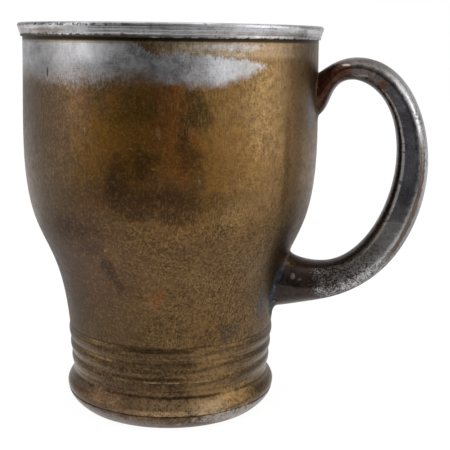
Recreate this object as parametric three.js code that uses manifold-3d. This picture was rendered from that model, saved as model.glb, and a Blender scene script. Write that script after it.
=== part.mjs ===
// A brass pint mug: a tulip-shaped cup on a reeded foot, with a moulded lip and a cast handle.
// Millimetres, +Z up. The mug stands on z = 0 and its handle reaches out along +X.
import * as THREE from "three";
import { mergeVertices } from "three/addons/utils/BufferGeometryUtils.js";
import Module from "manifold-3d";

const wasm = await Module();
wasm.setup();

// Whole mug
const MUG_HEIGHT = 122;
const WALL = 1.6; // sheet thickness of the tulip
const FIT_GAP = 0.3; // solder film between pieces that slip together
const TURN_SIDES = 48; // facets round a turned piece

// Tulip wall, measured outside
const WAIST_RADIUS = 33.35;
const BELLY_RADIUS = 46.7;
const BELLY_DROP = 34; // widest place, below the top of the mug
const MOUTH_RADIUS = 46.2;
const WAIST_SLOPE = 0.096; // outward lean of the wall at the waist
const WAIST_PULL = 0.56; // how long the curve holds that lean, in shares of the swell's height
const BELLY_PULL = 0.61; // how long it runs upright below the belly
const SHOULDER_PULL = 0.27; // and on both ends of the stretch above it

// Reeded collar
const COLLAR_HEIGHT = 14;
const REED_COUNT = 3;
const REED_RISE = 0.5; // crest above groove
const REED_STEPS = 6; // facets over one reed
const SLEEVE_HEIGHT = 4; // stands up inside the tulip
const SLEEVE_WALL = 0.85;

// Foot ring
const FOOT_HEIGHT = 12.4;
const NECK_INSET = 1.2; // the reeds start this far inside the waist
const NECK_LENGTH = 1.1; // straight stretch under the reeds
const ROLL_OVERHANG = 2.1; // widest part of the foot, beyond its neck
const ROLL_HEIGHT = 6.4;
const EDGE_OVERHANG = 1.85; // turned edge over the lip band, beyond the neck
const EDGE_HEIGHT = 4.6;
const EDGE_LINE = 0.25; // depth and half height of the fine line cut above the edge
const REST_WIDTH = 2.8; // flat ring that meets the table
const BAND_FLARE = 3; // how far the lip band has spread at half its height

// Floor
const FLOOR_LEDGE = 3; // width of the ledge in the foot that carries the floor
const FLOOR_SEAT_HEIGHT = 6;
const FLOOR_THICKNESS = 1.6;

// Lip moulding
const LIP_HEIGHT = 5;
const LIP_GROOVE = 0.8; // shadow line left open under the lip
const LIP_CAP = 2.6; // solid part of the lip above the wall's edge
const LIP_OVERHANG = 1.55; // upper ridge, beyond the mouth of the wall
const LIP_FOOT_OVERHANG = 0.9; // lower end of the tapered face
const LIP_RIDGE_DROP = 1; // ridge below the top
const LIP_BEAD = 0.55; // small bead at the bottom edge
const LIP_INNER_ROUND = 0.7;

// Places on the handle, inner line and outer line: reach beyond the belly, and height
const UPPER_ROOT_TOP_DROP = 14.1; // below the top of the mug
const UPPER_ROOT_FOOT_DROP = 27.4;
const CROWN_INNER_REACH = 10.6;
const CROWN_OUTER_REACH = 11.7;
const CROWN_INNER_DROP = 16;
const CROWN_OUTER_DROP = 9.1;
const GRIP_INNER_REACH = 24.7; // finger space
const GRIP_DEPTH = 9.95;
const GRIP_INNER_DROP = 5.2; // below the belly
const GRIP_OUTER_DROP = 8.7;
const ARM_INNER_REACH = 2;
const ARM_OUTER_REACH = 3.3;
const ARM_INNER_RISE = 22; // above the collar
const ARM_OUTER_RISE = 9.5;
const LOWER_ROOT_TOP_RISE = 24.8;
const LOWER_ROOT_FOOT_RISE = 6.1;
const ROOT_BURY = 4; // rough end left inside the wall before it is trimmed to it

// Headings of the two lines at those places, in degrees, and how long each curve holds them
const INNER_HEADINGS = [28, 0, -90, -180, -232];
const OUTER_HEADINGS = [37, 0, -90, -166, -169];
const INNER_PULLS = [[0.34, 0.5], [0.11, 0.72], [0.37, 0.32], [0.31, 0.26]];
const OUTER_PULLS = [[0.24, 0.42], [0.38, 0.38], [0.21, 0.5], [0.33, 0.25]];
const RUN_STEPS = 11; // stations along each of the four curves

// Handle section: width across the mug at the five places, and its two ridges
const UPPER_ROOT_WIDTH = 13.2;
const CROWN_WIDTH = 11.6;
const GRIP_WIDTH = 12.6;
const ARM_WIDTH = 14.2;
const LOWER_ROOT_WIDTH = 16.4;
const RIDGE_STRENGTHS = [0, 0.5, 1, 0.7, 0]; // 0 is a plain oval
const INNER_RIDGE = 0.18; // place of the inner ridge along the depth
const OUTER_RIDGE = 0.7;
const INNER_RIDGE_WIDTH = 0.72; // width there against the full width
const DOME_STEPS = 8; // facets over the outer face
const HOLLOW_STEPS = 6; // facets over the inner face

// Solder at the roots
const SOLDER_START = 0.5; // how deep the fillet starts inside the wall, in shares of the bury
const SOLDER_EDGE = 0.7; // thickness where the fillet ends on the handle
const SOLDER_STEPS = 4;
const SOLDER_RISE = 0.2; // how far it climbs, in shares of the curve next to the wall
const UPPER_SOLDER_LEG = 1; // thickness at the wall, above and below the root
const UPPER_SOLDER_SPREAD = 1.7; // and beside it
const LOWER_SOLDER_LEG = 1.3;
const LOWER_SOLDER_SPREAD = 2.9;

const WALL_FOOT = FOOT_HEIGHT + COLLAR_HEIGHT; // the tulip stands on the collar here
const WALL_TOP = MUG_HEIGHT - LIP_CAP;
const LIP_FOOT = MUG_HEIGHT - LIP_HEIGHT + LIP_GROOVE;
const BELLY_HEIGHT = MUG_HEIGHT - BELLY_DROP;
const NECK_RADIUS = WAIST_RADIUS - NECK_INSET;
const SLEEVE_RADIUS = WAIST_RADIUS - WALL - FIT_GAP;
const BORE_RADIUS = SLEEVE_RADIUS - SLEEVE_WALL; // inside of the collar and of the foot
const UNDER_RADIUS = BORE_RADIUS - FLOOR_LEDGE; // hollow under the mug

const brass = (name, color, roughness) =>
  new THREE.MeshStandardMaterial({ name, color, roughness, metalness: 1 });
const tulipBrass = brass("tulip_brass", 0x6f5a34, 0.42);
const footBrass = brass("foot_brass", 0x5d4a2e, 0.45);
const lipSilver = brass("lip_silver", 0xa7a6a5, 0.3);
const handleBronze = brass("handle_bronze", 0x4a3d36, 0.35);
const floorBrass = brass("floor_brass", 0x6a5a40, 0.55);
const solderGrey = brass("solder_grey", 0x6b6c70, 0.5);

const at = (radius, height) => new THREE.Vector2(radius, height);

// The tulip's outside, in two curves that meet upright at the belly.
const SWELL = BELLY_HEIGHT - WALL_FOOT;
const SHOULDER = LIP_FOOT - BELLY_HEIGHT;
const tulipCurves = [
  new THREE.CubicBezierCurve(
    at(WAIST_RADIUS, WALL_FOOT),
    at(WAIST_RADIUS + WAIST_SLOPE * WAIST_PULL * SWELL, WALL_FOOT + WAIST_PULL * SWELL),
    at(BELLY_RADIUS, BELLY_HEIGHT - BELLY_PULL * SWELL),
    at(BELLY_RADIUS, BELLY_HEIGHT)),
  new THREE.CubicBezierCurve(
    at(BELLY_RADIUS, BELLY_HEIGHT),
    at(BELLY_RADIUS, BELLY_HEIGHT + SHOULDER_PULL * SHOULDER),
    at(MOUTH_RADIUS, LIP_FOOT - SHOULDER_PULL * SHOULDER),
    at(MOUTH_RADIUS, LIP_FOOT)),
];

// Points of the tulip's outside, moved square to the wall by the given distance.
function tulipOutline(offset, swellSteps, shoulderSteps) {
  const points = [];
  tulipCurves.forEach((curve, part) => {
    const steps = part === 0 ? swellSteps : shoulderSteps;
    for (let i = part; i <= steps; i++) {
      const along = curve.getTangent(i / steps);
      const point = curve.getPoint(i / steps);
      points.push(at(point.x + along.y * offset, point.y - along.x * offset));
    }
  });
  return points;
}

// Outside radius of the tulip at a height.
function tulipRadius(height) {
  const points = tulipOutline(0, 40, 10);
  const next = points.findIndex((p) => p.y >= height);
  if (next <= 0) return next < 0 ? MOUTH_RADIUS : WAIST_RADIUS;
  const [low, high] = [points[next - 1], points[next]];
  return THREE.MathUtils.mapLinear(height, low.y, high.y, low.x, high.x);
}

// A quarter of an ellipse from one point to another that leaves the first one upright.
function quarterRound(from, to, steps) {
  const points = [];
  for (let i = 1; i <= steps; i++) {
    const turn = (i / steps) * Math.PI / 2;
    points.push(at(
      from.x + (to.x - from.x) * (1 - Math.cos(turn)),
      from.y + (to.y - from.y) * Math.sin(turn)));
  }
  return points;
}

// Turns a closed outline of (radius, height) points round the mug's axis.
function turned(outline) {
  const facing = THREE.ShapeUtils.isClockWise(outline) ? outline.slice().reverse() : outline.slice();
  facing.push(facing[0].clone());
  return new THREE.LatheGeometry(facing, TURN_SIDES).rotateX(Math.PI / 2);
}

function solidFrom(geometry) {
  const bare = geometry.clone();
  bare.deleteAttribute("normal");
  bare.deleteAttribute("uv");
  const merged = mergeVertices(bare, 1e-4);
  return new wasm.Manifold(new wasm.Mesh({
    numProp: 3,
    vertProperties: merged.attributes.position.array,
    triVerts: new Uint32Array(merged.index.array),
  }));
}

function geometryFrom(solid) {
  const mesh = solid.getMesh();
  const geometry = new THREE.BufferGeometry();
  geometry.setAttribute("position", new THREE.BufferAttribute(mesh.vertProperties, mesh.numProp));
  geometry.setIndex(new THREE.BufferAttribute(mesh.triVerts, 1));
  geometry.computeVertexNormals();
  return geometry;
}

// Foot: a flat rest, a lip band that spreads to an edge, a roll, and a neck under the reeds.
function footRing() {
  const rest = at(UNDER_RADIUS + REST_WIDTH, 0);
  const edge = at(NECK_RADIUS + EDGE_OVERHANG, EDGE_HEIGHT);
  const roll = at(NECK_RADIUS + ROLL_OVERHANG, ROLL_HEIGHT);
  const neckFoot = at(NECK_RADIUS, FOOT_HEIGHT - NECK_LENGTH);
  const bandMiddle = at(rest.x + BAND_FLARE, EDGE_HEIGHT / 2);
  const band = new THREE.QuadraticBezierCurve(rest, bandMiddle, edge);
  const shoulder = new THREE.CubicBezierCurve(
    roll,
    at(roll.x, (roll.y * 2 + neckFoot.y) / 3),
    at(neckFoot.x, (roll.y + neckFoot.y * 2) / 3),
    neckFoot);
  return turned([
    at(UNDER_RADIUS, 0),
    ...band.getPoints(5),
    at(edge.x - EDGE_LINE, edge.y + EDGE_LINE),
    at(edge.x, edge.y + 2 * EDGE_LINE),
    ...shoulder.getPoints(6),
    at(NECK_RADIUS, FOOT_HEIGHT),
    at(BORE_RADIUS, FOOT_HEIGHT),
    at(BORE_RADIUS, FLOOR_SEAT_HEIGHT),
    at(UNDER_RADIUS, FLOOR_SEAT_HEIGHT),
  ]);
}

// Collar: rounded reeds with sharp grooves, and a sleeve that locates the tulip.
function reededCollar() {
  const outline = [];
  const steps = REED_COUNT * REED_STEPS;
  for (let i = 0; i <= steps; i++) {
    const share = i / steps;
    const crest = Math.abs(Math.sin(Math.PI * REED_COUNT * share));
    const groove = THREE.MathUtils.lerp(NECK_RADIUS, WAIST_RADIUS, share);
    outline.push(at(groove + REED_RISE * crest, FOOT_HEIGHT + COLLAR_HEIGHT * share));
  }
  outline.push(
    at(SLEEVE_RADIUS, WALL_FOOT),
    at(SLEEVE_RADIUS, WALL_FOOT + SLEEVE_HEIGHT),
    at(BORE_RADIUS, WALL_FOOT + SLEEVE_HEIGHT),
    at(BORE_RADIUS, FOOT_HEIGHT));
  return turned(outline);
}

function floorDisc() {
  const radius = BORE_RADIUS - FIT_GAP;
  return new THREE.CylinderGeometry(radius, radius, FLOOR_THICKNESS, TURN_SIDES)
    .rotateX(Math.PI / 2)
    .translate(0, 0, FLOOR_SEAT_HEIGHT + FLOOR_THICKNESS / 2);
}

// Tulip wall: one sheet with its upper edge cut square to slip inside the lip.
function tulipWall() {
  const outside = tulipOutline(0, 16, 5);
  const inside = tulipOutline(-WALL, 14, 4).reverse();
  inside[inside.length - 1] = at(WAIST_RADIUS - WALL, WALL_FOOT);
  return turned([
    ...outside,
    at(MOUTH_RADIUS, WALL_TOP),
    at(MOUTH_RADIUS - WALL, WALL_TOP),
    ...inside,
  ]);
}

// Lip: a ring that caps the wall, tapered outside, with a small bead along its lower edge.
function lipMoulding() {
  const skirtRadius = MOUTH_RADIUS + FIT_GAP;
  const boreRadius = MOUTH_RADIUS - WALL;
  const footRadius = MOUTH_RADIUS + LIP_FOOT_OVERHANG;
  const ridge = at(MOUTH_RADIUS + LIP_OVERHANG, MUG_HEIGHT - LIP_RIDGE_DROP);
  const crown = at(ridge.x - LIP_RIDGE_DROP, MUG_HEIGHT);
  const beadTop = LIP_FOOT + 2 * LIP_BEAD;
  const innerCrown = at(boreRadius + LIP_INNER_ROUND, MUG_HEIGHT);
  const innerEdge = at(boreRadius, MUG_HEIGHT - LIP_INNER_ROUND);
  return turned([
    at(skirtRadius, LIP_FOOT),
    at(footRadius - LIP_BEAD / 2, LIP_FOOT),
    at(footRadius, LIP_FOOT + LIP_BEAD / 2),
    at(footRadius, LIP_FOOT + LIP_BEAD),
    at(footRadius - LIP_BEAD / 3, beadTop),
    ridge,
    ...quarterRound(ridge, crown, 3),
    innerCrown,
    ...quarterRound(innerEdge, innerCrown, 3).reverse().slice(1),
    innerEdge,
    at(boreRadius, WALL_TOP),
    at(skirtRadius, WALL_TOP),
  ]);
}

// A line of the handle through its five places, with a straight buried end at each root.
function handleLine(places, headings, pulls) {
  const along = headings.map((heading) => {
    const turn = THREE.MathUtils.degToRad(heading);
    return at(Math.cos(turn), Math.sin(turn));
  });
  const moved = (place, step) => places[place].clone().addScaledVector(along[place], step);
  const runs = pulls.map(([leaving, arriving], i) => {
    const length = places[i].distanceTo(places[i + 1]);
    return new THREE.CubicBezierCurve(
      places[i],
      moved(i, leaving * length),
      moved(i + 1, -arriving * length),
      places[i + 1]);
  });
  const end = places.length - 1;
  return [
    new THREE.LineCurve(moved(0, -ROOT_BURY), places[0]),
    ...runs,
    new THREE.LineCurve(places[end], moved(end, ROOT_BURY)),
  ];
}

const onTulip = (height) => at(tulipRadius(height), height);
const innerRuns = handleLine([
  onTulip(MUG_HEIGHT - UPPER_ROOT_FOOT_DROP),
  at(BELLY_RADIUS + CROWN_INNER_REACH, MUG_HEIGHT - CROWN_INNER_DROP),
  at(BELLY_RADIUS + GRIP_INNER_REACH, BELLY_HEIGHT - GRIP_INNER_DROP),
  at(BELLY_RADIUS + ARM_INNER_REACH, WALL_FOOT + ARM_INNER_RISE),
  onTulip(WALL_FOOT + LOWER_ROOT_TOP_RISE),
], INNER_HEADINGS, INNER_PULLS);
const outerRuns = handleLine([
  onTulip(MUG_HEIGHT - UPPER_ROOT_TOP_DROP),
  at(BELLY_RADIUS + CROWN_OUTER_REACH, MUG_HEIGHT - CROWN_OUTER_DROP),
  at(BELLY_RADIUS + GRIP_INNER_REACH + GRIP_DEPTH, BELLY_HEIGHT - GRIP_OUTER_DROP),
  at(BELLY_RADIUS + ARM_OUTER_REACH, WALL_FOOT + ARM_OUTER_RISE),
  onTulip(WALL_FOOT + LOWER_ROOT_FOOT_RISE),
], OUTER_HEADINGS, OUTER_PULLS);
const LAST_RUN = innerRuns.length - 1;
const HANDLE_WIDTHS = [
  UPPER_ROOT_WIDTH, CROWN_WIDTH, GRIP_WIDTH, ARM_WIDTH, LOWER_ROOT_WIDTH];

// Value at a station, eased between the five places and held along the buried ends.
function eased(values, run, share) {
  const from = values[Math.max(run - 1, 0)];
  const to = values[Math.min(run, values.length - 1)];
  return THREE.MathUtils.lerp(from, to, THREE.MathUtils.smoothstep(share, 0, 1));
}

// A closed section of the handle: a domed outer face, straight leaning sides down to a
// narrower inner face. It can be swollen along its depth by leg and across by spread.
function handleSection(run, share, leg = 0, spread = leg) {
  const width = eased(HANDLE_WIDTHS, run, share) + 2 * spread;
  const ridged = eased(RIDGE_STRENGTHS, run, share);
  const inner = innerRuns[run].getPoint(share);
  const across = outerRuns[run].getPoint(share).sub(inner);
  const depth = across.length() + 2 * leg;
  across.normalize();
  inner.addScaledVector(across, -leg);
  const outerRidge = THREE.MathUtils.lerp(0.5, OUTER_RIDGE, ridged);
  const innerRidge = THREE.MathUtils.lerp(0.5, INNER_RIDGE, ridged);
  const innerWidth = THREE.MathUtils.lerp(1, INNER_RIDGE_WIDTH, ridged);
  const section = [];
  const add = (place, side) => {
    const point = inner.clone().addScaledVector(across, place * depth);
    section.push(new THREE.Vector3(point.x, (side * width) / 2, point.y));
  };
  for (let i = 0; i <= DOME_STEPS; i++) {
    const turn = Math.PI * (i / DOME_STEPS - 0.5);
    add(outerRidge + (1 - outerRidge) * Math.cos(turn), Math.sin(turn));
  }
  for (let i = 0; i <= HOLLOW_STEPS; i++) {
    const turn = Math.PI * (0.5 - (i + 0.5) / (HOLLOW_STEPS + 1));
    add(innerRidge * (1 - Math.cos(turn)), innerWidth * Math.sin(turn));
  }
  return section;
}

// Skins a row of sections that have the same number of points, and closes both ends.
function lofted(sections) {
  const ring = sections[0].length;
  const points = sections.flat();
  const faces = [];
  for (let s = 0; s + 1 < sections.length; s++)
    for (let i = 0; i < ring; i++) {
      const [a, b] = [s * ring + i, s * ring + ((i + 1) % ring)];
      faces.push(a, b + ring, b, a, a + ring, b + ring);
    }
  const last = (sections.length - 1) * ring;
  for (let i = 1; i + 1 < ring; i++) {
    faces.push(0, i, i + 1);
    faces.push(last, last + i + 1, last + i);
  }
  return new THREE.BufferGeometry().setFromPoints(points).setIndex(faces);
}

// The whole casting with its rough ends still inside the wall, swollen by an offset.
function roughHandle(offset) {
  const sections = [handleSection(0, 0, offset), handleSection(0, 1, offset)];
  for (let run = 1; run < LAST_RUN; run++)
    for (let i = 1; i <= RUN_STEPS; i++)
      sections.push(handleSection(run, i / RUN_STEPS, offset));
  sections.push(handleSection(LAST_RUN, 1, offset));
  return solidFrom(lofted(sections));
}

// The mug's outside as a solid bar, larger by the solder film, that trims what sits against it.
function wallCutter() {
  const side = tulipOutline(FIT_GAP, 16, 5);
  const [first, last] = [side[0], side[side.length - 1]];
  return solidFrom(turned([
    at(0, FOOT_HEIGHT),
    at(first.x, FOOT_HEIGHT),
    ...side,
    at(last.x, MUG_HEIGHT),
    at(0, MUG_HEIGHT),
  ]));
}

const cutter = wallCutter();

function handle() {
  return geometryFrom(roughHandle(0).subtract(cutter));
}

// A hollow fillet round one root, spread over the wall and thin where it ends on the handle.
function solderFillet(lower, leg, spread) {
  const [buried, root] = lower ? [LAST_RUN, LAST_RUN - 1] : [0, 1];
  const place = (run, amount, fade) => handleSection(
    run,
    lower ? 1 - amount : amount,
    THREE.MathUtils.lerp(SOLDER_EDGE, leg, fade),
    THREE.MathUtils.lerp(SOLDER_EDGE, spread, fade));
  const sections = [place(buried, 1 - SOLDER_START, 1)];
  for (let i = 0; i <= SOLDER_STEPS; i++)
    sections.push(place(root, (SOLDER_RISE * i) / SOLDER_STEPS, (1 - i / SOLDER_STEPS) ** 2));
  if (lower) sections.reverse();
  return geometryFrom(solidFrom(lofted(sections)).subtract(roughHandle(FIT_GAP)).subtract(cutter));
}

const mug = new THREE.Group();

function addPiece(name, geometry, material) {
  const piece = new THREE.Mesh(geometry, material);
  piece.name = name;
  mug.add(piece);
}

addPiece("foot_ring", footRing(), footBrass);
addPiece("reeded_collar", reededCollar(), footBrass);
addPiece("floor_disc", floorDisc(), floorBrass);
addPiece("tulip_wall", tulipWall(), tulipBrass);
addPiece("lip_moulding", lipMoulding(), lipSilver);
addPiece("handle", handle(), handleBronze);
addPiece("upper_solder", solderFillet(false, UPPER_SOLDER_LEG, UPPER_SOLDER_SPREAD), solderGrey);
addPiece("lower_solder", solderFillet(true, LOWER_SOLDER_LEG, LOWER_SOLDER_SPREAD), solderGrey);

// The origin lies on the table, under the middle of the mug and its handle together.
const reach = new THREE.Box3().setFromObject(mug);
mug.position.x = -(reach.min.x + reach.max.x) / 2;

const part = new THREE.Group();
part.add(mug);

export default part;
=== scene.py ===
# %% [markdown]
# # An old brass pint mug, once silver-plated
# The solid model of the mug is finished. This lesson gives it its looks: smooth turned and
# cast forms in place of the faceted solids, and the patina, worn plate, dirt and solder that
# a hundred years of handling leave. Everything is in metres, in the solid model's own frame.

# %% Load the solid model
import math

import bmesh
import bpy
import numpy as np
from mathutils import Matrix, Vector


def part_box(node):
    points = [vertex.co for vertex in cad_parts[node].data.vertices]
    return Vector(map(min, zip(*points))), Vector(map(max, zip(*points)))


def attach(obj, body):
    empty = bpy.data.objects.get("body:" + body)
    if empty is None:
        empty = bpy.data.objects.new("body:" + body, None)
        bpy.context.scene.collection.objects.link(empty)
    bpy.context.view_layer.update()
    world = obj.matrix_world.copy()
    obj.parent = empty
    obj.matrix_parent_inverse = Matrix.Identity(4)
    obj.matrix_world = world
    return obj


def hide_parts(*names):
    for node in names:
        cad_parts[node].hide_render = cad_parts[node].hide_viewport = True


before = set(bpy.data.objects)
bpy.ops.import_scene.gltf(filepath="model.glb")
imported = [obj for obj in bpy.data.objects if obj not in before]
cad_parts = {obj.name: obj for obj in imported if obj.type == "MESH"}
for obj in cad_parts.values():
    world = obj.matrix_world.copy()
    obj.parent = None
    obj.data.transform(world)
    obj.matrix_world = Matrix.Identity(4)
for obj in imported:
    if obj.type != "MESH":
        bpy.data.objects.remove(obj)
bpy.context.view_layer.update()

MM = 0.001
tulip_low, tulip_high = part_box("tulip_wall")
AXIS = Vector(((tulip_low.x + tulip_high.x) / 2, (tulip_low.y + tulip_high.y) / 2, 0))
print("mug's axis at x =", round(AXIS.x / MM, 2), "mm")

# %% [markdown]
# ## The camera
# It stands where the photographer stood: about 30 cm from the mug, a little higher than the
# lip, looking down 11 degrees. The place was found by fitting the ellipses of lip and foot.
# We turn the viewing direction about the mug because the handle points 12 degrees towards
# the photographer, while in the model it lies along +X.

# %% Camera
HANDLE_TURN = math.radians(12)
CAMERA_DISTANCE = 0.30084
CAMERA_HEIGHT = 0.11757
CAMERA_PAN = math.radians(3.351)
CAMERA_TILT = math.radians(11.216)
CAMERA_ROLL = math.radians(0.807)
SENSOR_WIDTH = 36.0
FOCAL_PIXELS = 933.66
IMAGE_PIXELS = 450

heading = CAMERA_PAN - HANDLE_TURN
forward = Vector((
    math.sin(heading) * math.cos(CAMERA_TILT),
    math.cos(heading) * math.cos(CAMERA_TILT),
    -math.sin(CAMERA_TILT)))
level_right = Vector((math.cos(heading), -math.sin(heading), 0))
level_up = level_right.cross(forward)
right = math.cos(CAMERA_ROLL) * level_right + math.sin(CAMERA_ROLL) * level_up
up = math.cos(CAMERA_ROLL) * level_up - math.sin(CAMERA_ROLL) * level_right
to_camera = Vector((math.sin(HANDLE_TURN), -math.cos(HANDLE_TURN), 0))

bpy.context.scene.view_settings.view_transform = "Standard"
camera_data = bpy.data.cameras.new("photographer")
camera_data.sensor_width = SENSOR_WIDTH
camera_data.lens = FOCAL_PIXELS / IMAGE_PIXELS * SENSOR_WIDTH
camera = bpy.data.objects.new("photographer", camera_data)
bpy.context.scene.collection.objects.link(camera)
turn = Matrix((right, up, -forward)).transposed().to_4x4()
camera.matrix_world = Matrix.Translation(
    AXIS + to_camera * CAMERA_DISTANCE + Vector((0, 0, CAMERA_HEIGHT))) @ turn
bpy.context.scene.camera = camera
print("lens:", round(camera_data.lens, 2), "mm")

# %% [markdown]
# ## Small helpers for node trees
# A node tree in a script is easier to read when one call makes a node, sets its values and
# plugs in what feeds it. `place` does that for shader trees and geometry trees alike. A
# `Signal` is a number that changes over a surface. Sums and products of signals are written
# like ordinary sums, and each of them adds a Math node.

# %% Making and linking nodes
def feed(tree, value, socket):
    """Plugs a node's output into a socket, or sets the socket to a number, colour or vector."""
    if isinstance(value, Signal):
        value = value.socket
    if isinstance(value, bpy.types.NodeSocket):
        tree.links.new(value, socket)
    else:
        socket.default_value = value


def place(tree, kind, inputs=None, **settings):
    """Makes a node, applies its settings and feeds its inputs, by name or by number."""
    made = tree.nodes.new(kind)
    for name, value in settings.items():
        setattr(made, name, value)
    for key, value in (inputs or {}).items():
        feed(tree, value, made.inputs[key])
    return made


def maths(tree, operation, *values):
    made = place(tree, "ShaderNodeMath", dict(enumerate(values)), operation=operation)
    return Signal(tree, made.outputs[0])


def vector_maths(tree, operation, *values):
    made = place(tree, "ShaderNodeVectorMath", dict(enumerate(values)), operation=operation)
    return made.outputs["Value" if operation == "LENGTH" else "Vector"]

# %% Signals
class Signal:
    """Masks are signals from 0 to 1: * keeps what both have, | what either has."""

    def __init__(self, tree, socket):
        self.tree, self.socket = tree, socket

    def __add__(self, other):
        return maths(self.tree, "ADD", self, other)

    def __sub__(self, other):
        return maths(self.tree, "SUBTRACT", self, other)

    def __rsub__(self, other):
        return maths(self.tree, "SUBTRACT", other, self)

    def __mul__(self, other):
        return maths(self.tree, "MULTIPLY", self, other)

    def __or__(self, other):
        return maths(self.tree, "MAXIMUM", self, other)

    def __abs__(self):
        return maths(self.tree, "ABSOLUTE", self)

    def ramp(self, low, high, to_low=0.0, to_high=1.0):
        """Eases from to_low, where the signal is low, to to_high, where it is high."""
        made = place(self.tree, "ShaderNodeMapRange", {
            "Value": self, "From Min": low, "From Max": high,
            "To Min": to_low, "To Max": to_high}, interpolation_type="SMOOTHSTEP")
        return Signal(self.tree, made.outputs["Result"])

    def blend(self, below, above):
        """The first colour where the signal is zero, the second where it is one."""
        factor, first, second, mixed_colour = 0, 6, 7, 2  # the Mix node's colour sockets
        made = place(self.tree, "ShaderNodeMix", {
            factor: self, first: below, second: above}, data_type="RGBA")
        return made.outputs[mixed_colour]

# %% Groups and colours
def shader_group(name, inputs, outputs):
    """A new shader group with named sockets; returns the tree, its inputs and its outputs."""
    tree = bpy.data.node_groups.new(name, "ShaderNodeTree")
    kinds = {"value": "NodeSocketFloat", "vector": "NodeSocketVector"}
    for label, kind, default in inputs:
        socket = tree.interface.new_socket(label, in_out="INPUT", socket_type=kinds[kind])
        if default is not None:
            socket.default_value = default
    for label, kind in outputs:
        tree.interface.new_socket(label, in_out="OUTPUT", socket_type=kinds[kind])
    entry = tree.nodes.new("NodeGroupInput")
    leave = tree.nodes.new("NodeGroupOutput")
    return tree, entry.outputs, leave.inputs


def use(tree, group, **inputs):
    """Places a shader group and returns the one signal that it puts out."""
    return Signal(tree, place(tree, "ShaderNodeGroup", inputs, node_tree=group).outputs[0])


def srgb(red, green, blue):
    """A colour given as it looks on screen, 0 to 255, turned into the linear light Blender uses."""
    def linear(v):
        v /= 255
        return v / 12.92 if v <= 0.04045 else ((v + 0.055) / 1.055) ** 2.4
    return (linear(red), linear(green), linear(blue), 1.0)

# %% [markdown]
# ## Effects that several finishes share
# **Clouds** are the slow mottling of old metal. **Hairlines** are the fine marks left by
# spinning and rubbing: noise that is squeezed one way and stretched the other. **Specks** are
# small pits where the metal corroded. **Patch** is a ragged stain with a place and a size, for
# worn plate and dark patina that lie in one spot. Each is a group with named inputs, built
# once and used with other values in each finish.

# %% Clouds
clouds, given, result = shader_group(
    "Clouds",
    [("Vector", "vector", None), ("Scale", "value", 60.0), ("Contrast", "value", 1.0)],
    [("Amount", "value")])
broad = place(clouds, "ShaderNodeTexNoise", {
    "Vector": given["Vector"], "Scale": given["Scale"], "Detail": 6.0, "Roughness": 0.62,
    "Distortion": 0.4})
mottle = (Signal(clouds, broad.outputs["Fac"]) - 0.5) * given["Contrast"] + 0.5
amount = place(clouds, "ShaderNodeClamp", {"Value": mottle})
feed(clouds, amount.outputs[0], result["Amount"])

# %% Hairlines
hairlines, given, result = shader_group(
    "Hairlines",
    [("Vector", "vector", None), ("Stretch", "vector", (1.0, 1.0, 1.0)), ("Fade", "value", 90.0)],
    [("Amount", "value")])
stretched = vector_maths(hairlines, "MULTIPLY", given["Vector"], given["Stretch"])
lines = place(hairlines, "ShaderNodeTexNoise", {
    "Vector": stretched, "Scale": 1.0, "Detail": 3.0, "Roughness": 0.7})
presence = place(hairlines, "ShaderNodeTexNoise", {
    "Vector": given["Vector"], "Scale": given["Fade"], "Detail": 2.0})
strength = Signal(hairlines, presence.outputs["Fac"]).ramp(0.35, 0.65, 0.25, 1.0)
feed(hairlines, (Signal(hairlines, lines.outputs["Fac"]) - 0.5) * strength, result["Amount"])

# %% Specks
specks, given, result = shader_group(
    "Specks",
    [("Vector", "vector", None), ("Scale", "value", 1500.0), ("Size", "value", 0.35),
     ("Gather", "value", 80.0), ("Share", "value", 0.5)],
    [("Mask", "value")])
cells = place(specks, "ShaderNodeTexVoronoi", {
    "Vector": given["Vector"], "Scale": given["Scale"], "Randomness": 1.0})
chance = place(specks, "ShaderNodeSeparateColor", {"Color": cells.outputs["Color"]})
radius = maths(specks, "POWER", chance.outputs["Red"], 2.0) * given["Size"]
dot = (radius - cells.outputs["Distance"]).ramp(0.0, 0.1)
where = place(specks, "ShaderNodeTexNoise", {
    "Vector": given["Vector"], "Scale": given["Gather"], "Detail": 3.0})
open_from = 0.9 - Signal(specks, given["Share"])
crowd = Signal(specks, where.outputs["Fac"]).ramp(open_from, open_from + 0.2)
feed(specks, dot * crowd, result["Mask"])

# %% Patch
patch, given, result = shader_group(
    "Patch",
    [("Vector", "vector", None), ("Centre", "vector", None), ("Reach", "vector", (0.01,) * 3),
     ("Softness", "value", 0.3), ("Ragged", "value", 0.3), ("Grain", "value", 120.0)],
    [("Mask", "value")])
offset = vector_maths(patch, "SUBTRACT", given["Vector"], given["Centre"])
distance = vector_maths(patch, "LENGTH", vector_maths(patch, "DIVIDE", offset, given["Reach"]))
frayed = place(patch, "ShaderNodeTexNoise", {
    "Vector": given["Vector"], "Scale": given["Grain"], "Detail": 6.0, "Roughness": 0.65})
fray = (Signal(patch, frayed.outputs["Fac"]) - 0.5) * given["Ragged"]
softness = Signal(patch, given["Softness"])
edge = fray * 4.0 + distance
feed(patch, edge.ramp(1.0 - softness, softness + 1.0, 1.0, 0.0), result["Mask"])
print("shared effects:", [g.name for g in bpy.data.node_groups])

# %% [markdown]
# ## Finishes
# `Finish` opens a material with one Principled shader and the position on the object, shifted
# so that the mug's axis is at zero. Old plated brass is a metal all over, so Metallic stays at
# one and the patina is a dark, rough metal colour. A finish is painted in layers, as a
# restorer would describe it: a ground colour, stains, worn plate, grain, then dirt.

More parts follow.
